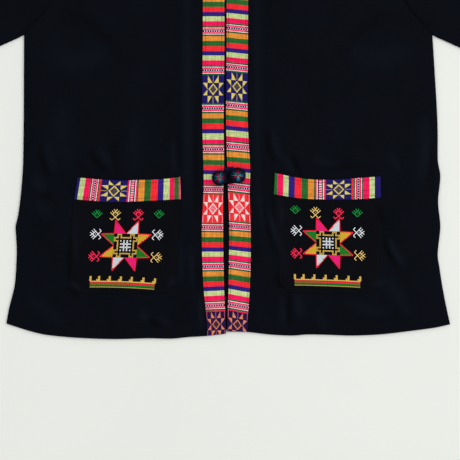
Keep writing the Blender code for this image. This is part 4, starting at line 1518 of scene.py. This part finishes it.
def make_loop(centres):
    """The two-ply cord round both shanks, and the cord wound round it."""
    low, high = (np.array(corner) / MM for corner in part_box("button_loop"))
    height = (low[2] + high[2]) / 2
    (x0, y0), (x1, y1) = centres
    reach = x0 - low[0] - LOOP_PLY * 2
    heading = math.atan2(y1 - y0, x1 - x0)
    path = []
    for cx, cy, first in ((x1, y1, -math.pi / 2), (x0, y0, math.pi / 2)):
        for k in range(HALF_TURN_STEPS + 1):
            angle = heading + first + math.pi * k / HALF_TURN_STEPS
            path.append((cx + reach * math.cos(angle), cy + reach * math.sin(angle)))
    path = np.array([*path, path[0]])
    lengths = np.concatenate([[0], np.cumsum(np.hypot(*np.diff(path, axis=0).T))])
    turns = round(lengths[-1] / PLY_TURN)
    at = np.linspace(0, lengths[-1], LOOP_POINTS, endpoint=False)
    line = np.column_stack([np.interp(at, lengths, path[:, k]) for k in (0, 1)])
    along = np.roll(line, -1, axis=0) - np.roll(line, 1, axis=0)
    along /= np.linalg.norm(along, axis=1)[:, None]
    up = np.array([0, 0, 1.0])
    verts, faces = [], []
    for ply in (0, 1):
        start = len(verts)
        for i in range(LOOP_POINTS):
            aside = np.array([along[i, 1], -along[i, 0], 0])
            twist = math.tau * turns * i / LOOP_POINTS + math.pi * ply
            off = LOOP_PLY * (aside * math.cos(twist) + up * math.sin(twist))
            middle = np.array([*line[i], height]) + off
            for n in range(PLY_SIDES):
                turn = math.tau * n / PLY_SIDES
                verts.append(middle + LOOP_PLY * PLY_TOUCH * (aside * math.cos(turn) + up * math.sin(turn)))
        faces += tube_faces(LOOP_POINTS, PLY_SIDES, start, closed=True)
    cord = mesh_with_colour("loop_cord", verts, faces, linear("black_thread"))
    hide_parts("button_loop")
    wind_binding(np.array([(x0 + x1) / 2, (y0 + y1) / 2, height]), heading, reach + BINDING_REACH)


def wind_binding(middle, heading, half):
    """Turns of cord round the loop between the buttons, navy at their upper ends."""
    black, navy = np.array(linear("black_thread")), np.array(linear(BINDING_NAVY))
    forward = np.array([math.cos(heading), math.sin(heading), 0])
    aside = np.array([-math.sin(heading), math.cos(heading), 0])
    up = np.array([0, 0, 1.0])
    centre = middle + BINDING_LIFT * up + BINDING_RAISE * aside
    verts, faces, colours = [], [], []
    for shift in BINDING_PLACES:
        start = len(verts)
        for i in range(BINDING_POINTS):
            angle = math.tau * i / BINDING_POINTS
            way = aside * math.cos(angle) * half + up * math.sin(angle) * BINDING_HALF_HEIGHT
            colours += [black + (navy - black) * smoothstep(math.cos(angle) * 2 - 0.9)] * BINDING_SIDES
            outward = aside * math.cos(angle) + up * math.sin(angle)
            for n in range(BINDING_SIDES):
                turn = math.tau * n / BINDING_SIDES
                verts.append(centre + forward * shift + way
                             + BINDING_CORD * (outward * math.cos(turn) - forward * math.sin(turn)))
        faces += tube_faces(BINDING_POINTS, BINDING_SIDES, start, closed=True)
    binding = mesh_with_colour("loop_binding", verts, faces, colours)


def make_sleeve(side, seed):
    """A flat sleeve tube with soft folds in its upper layer."""
    node = f"sleeve_{side}"
    way = 1 if side == "left" else -1
    creases = [crease._replace(x0=crease.x0 * way, x1=crease.x1 * way, x2=crease.x2 * way)
               for crease in SLEEVE_CREASES]
    surface = Surface(node, creases, seed)
    outline = plan_outline(node)
    shape = merged_copy(node)
    solid = BVHTree.FromBMesh(shape)
    bmesh.ops.subdivide_edges(shape, edges=shape.edges, cuts=3, use_grid_fill=True)
    points = np.array([vert.co for vert in shape.verts]) / MM
    wanted = surface.at(points[:, :2])
    before = np.array([
        (hit.z / MM if hit else surface.flat)
        for hit in (solid.ray_cast((x * MM, y * MM, 1.0), (0, 0, -1))[0] for x, y, _ in points)
    ])
    inward = smoothstep(distance_to(points[:, :2], outline, True) / SLEEVE_EDGE)
    upper = smoothstep((points[:, 2] - UPPER_FROM) / UPPER_SPAN)
    body = smooth_closed(plan_outline(f"front_{side}"))
    seam = stretch_of(body, lambda p: p[0] * way > ARMHOLE_BEYOND_X and p[1] > ARMHOLE_ABOVE_Y)
    apart, on_seam = nearest_on(points[:, :2], seam)
    for k, (vert, rise) in enumerate(zip(shape.verts, (wanted - before) * inward * upper)):
        vert.co.z += rise * MM
        if apart[k] < ARMHOLE_REACH:
            vert.co.xy = ((on_seam[k][0] - way * ARMHOLE_OVERLAP) * MM, on_seam[k][1] * MM)
    mesh = bpy.data.meshes.new(f"sleeve_cloth_{side}")
    shape.to_mesh(mesh)
    shape.free()
    angle = SLEEVE_FALL * way
    along = points[:, 0] * math.cos(angle) - points[:, 1] * math.sin(angle)
    across = points[:, 0] * math.sin(angle) + points[:, 1] * math.cos(angle)
    place = mesh.attributes.new("weave", "FLOAT_VECTOR", "POINT")
    place.data.foreach_set("vector", np.column_stack([across, along, 0 * along]).ravel())
    cloth = finished(f"sleeve_cloth_{side}", mesh, MATERIALS["cloth"])
    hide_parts(node)
    cut = 2 * polygon_area(outline) * MM**2


def look_at(thing, x, y, z):
    """Turns a camera or light towards a point, given in mm."""
    run = Vector((x * MM, y * MM, z * MM)) - thing.location
    thing.rotation_euler = run.to_track_quat("-Z", "Y").to_euler()


def set_stage():
    """Pale tabletop, one large soft light from the picture's right and an even pale surrounding."""
    scene = bpy.context.scene
    floor = bpy.data.meshes.new("tabletop")
    corners = [(x * FLOOR_HALF, y * FLOOR_HALF, -FLOOR_DROP * MM)
               for x, y in ((-1, -1), (1, -1), (1, 1), (-1, 1))]
    floor.from_pydata(corners, [], [(0, 1, 2, 3)])
    floor.materials.append(floor_paint())
    tabletop = bpy.data.objects.new("tabletop", floor)
    scene.collection.objects.link(tabletop)
    world = bpy.data.worlds.new("studio")
    world.use_nodes = True
    background = world.node_tree.nodes["Background"]
    background.inputs["Color"].default_value = linear(WORLD_COLOUR)
    background.inputs["Strength"].default_value = WORLD_STRENGTH
    scene.world = world
    light = bpy.data.lights.new("window", "AREA")
    light.shape = "DISK"
    light.size = KEY_SIZE
    light.energy = KEY_POWER
    lamp = bpy.data.objects.new("window", light)
    lamp.location = KEY_PLACE
    look_at(lamp, *KEY_TARGET)
    scene.collection.objects.link(lamp)
    camera = bpy.data.cameras.new("camera")
    camera.lens = LENS
    camera.sensor_width = SENSOR
    camera.clip_end = CLIP_END
    viewer = bpy.data.objects.new("camera", camera)
    viewer.location = (VIEW_X * MM, VIEW_Y * MM, VIEW_HEIGHT * MM)
    scene.collection.objects.link(viewer)
    scene.camera = viewer
    scene.view_settings.view_transform = "Standard"


MATERIALS = {
    "cloth": black_cotton("black_cotton"),
    "pocket": black_cotton("pocket_cotton"),
    "band": woven_band(),
    "thread": yarn("embroidery_cotton", 0.62, 0.12),
    "button": yarn("button_yarn", 0.65, 0.05),
}


def main():
    set_stage()
    back = make_back()
    centres = []
    for number, side in enumerate(SIDES):
        surface = Surface(f"front_{side}", CREASES[side], 10 + number)
        front, outline, rows = make_front(side, surface, 30 + number)
        band = Band(f"front_band_{side}", False, FRONT_BAND_STRIPES[side], FRONT_BAND_START[side],
                    FRONT_BAND_LEAN[side])
        strip, on_strip = make_band(f"front_band_weave_{side}", f"front_band_{side}", band, surface, 1,
                                    BAND_STITCH_INSET[side], 40 + number)
        pocket, pocket_line, on_pocket = make_pocket(side, surface, 50 + number)
        mouth = Band(f"pocket_band_{side}", True, POCKET_BAND_STRIPES[side], POCKET_BAND_START[side],
                     POCKET_BAND_LEAN[side])
        top, on_top = make_band(f"pocket_band_weave_{side}", f"pocket_band_{side}", mouth, surface, 2,
                                POCKET_BAND_STITCH_INSET, 60 + number)
        declare_sheet(front, outline, rows)
        declare_sheet(strip, band.outline, on_strip)
        declare_sheet(pocket, pocket_line, on_pocket)
        declare_sheet(top, mouth.outline, on_top)
        make_sleeve(side, 70 + number)
        centres.append(make_button(side))
    make_loop(centres)
    bpy.data.objects.remove(THREAD_SHAPE)


main()
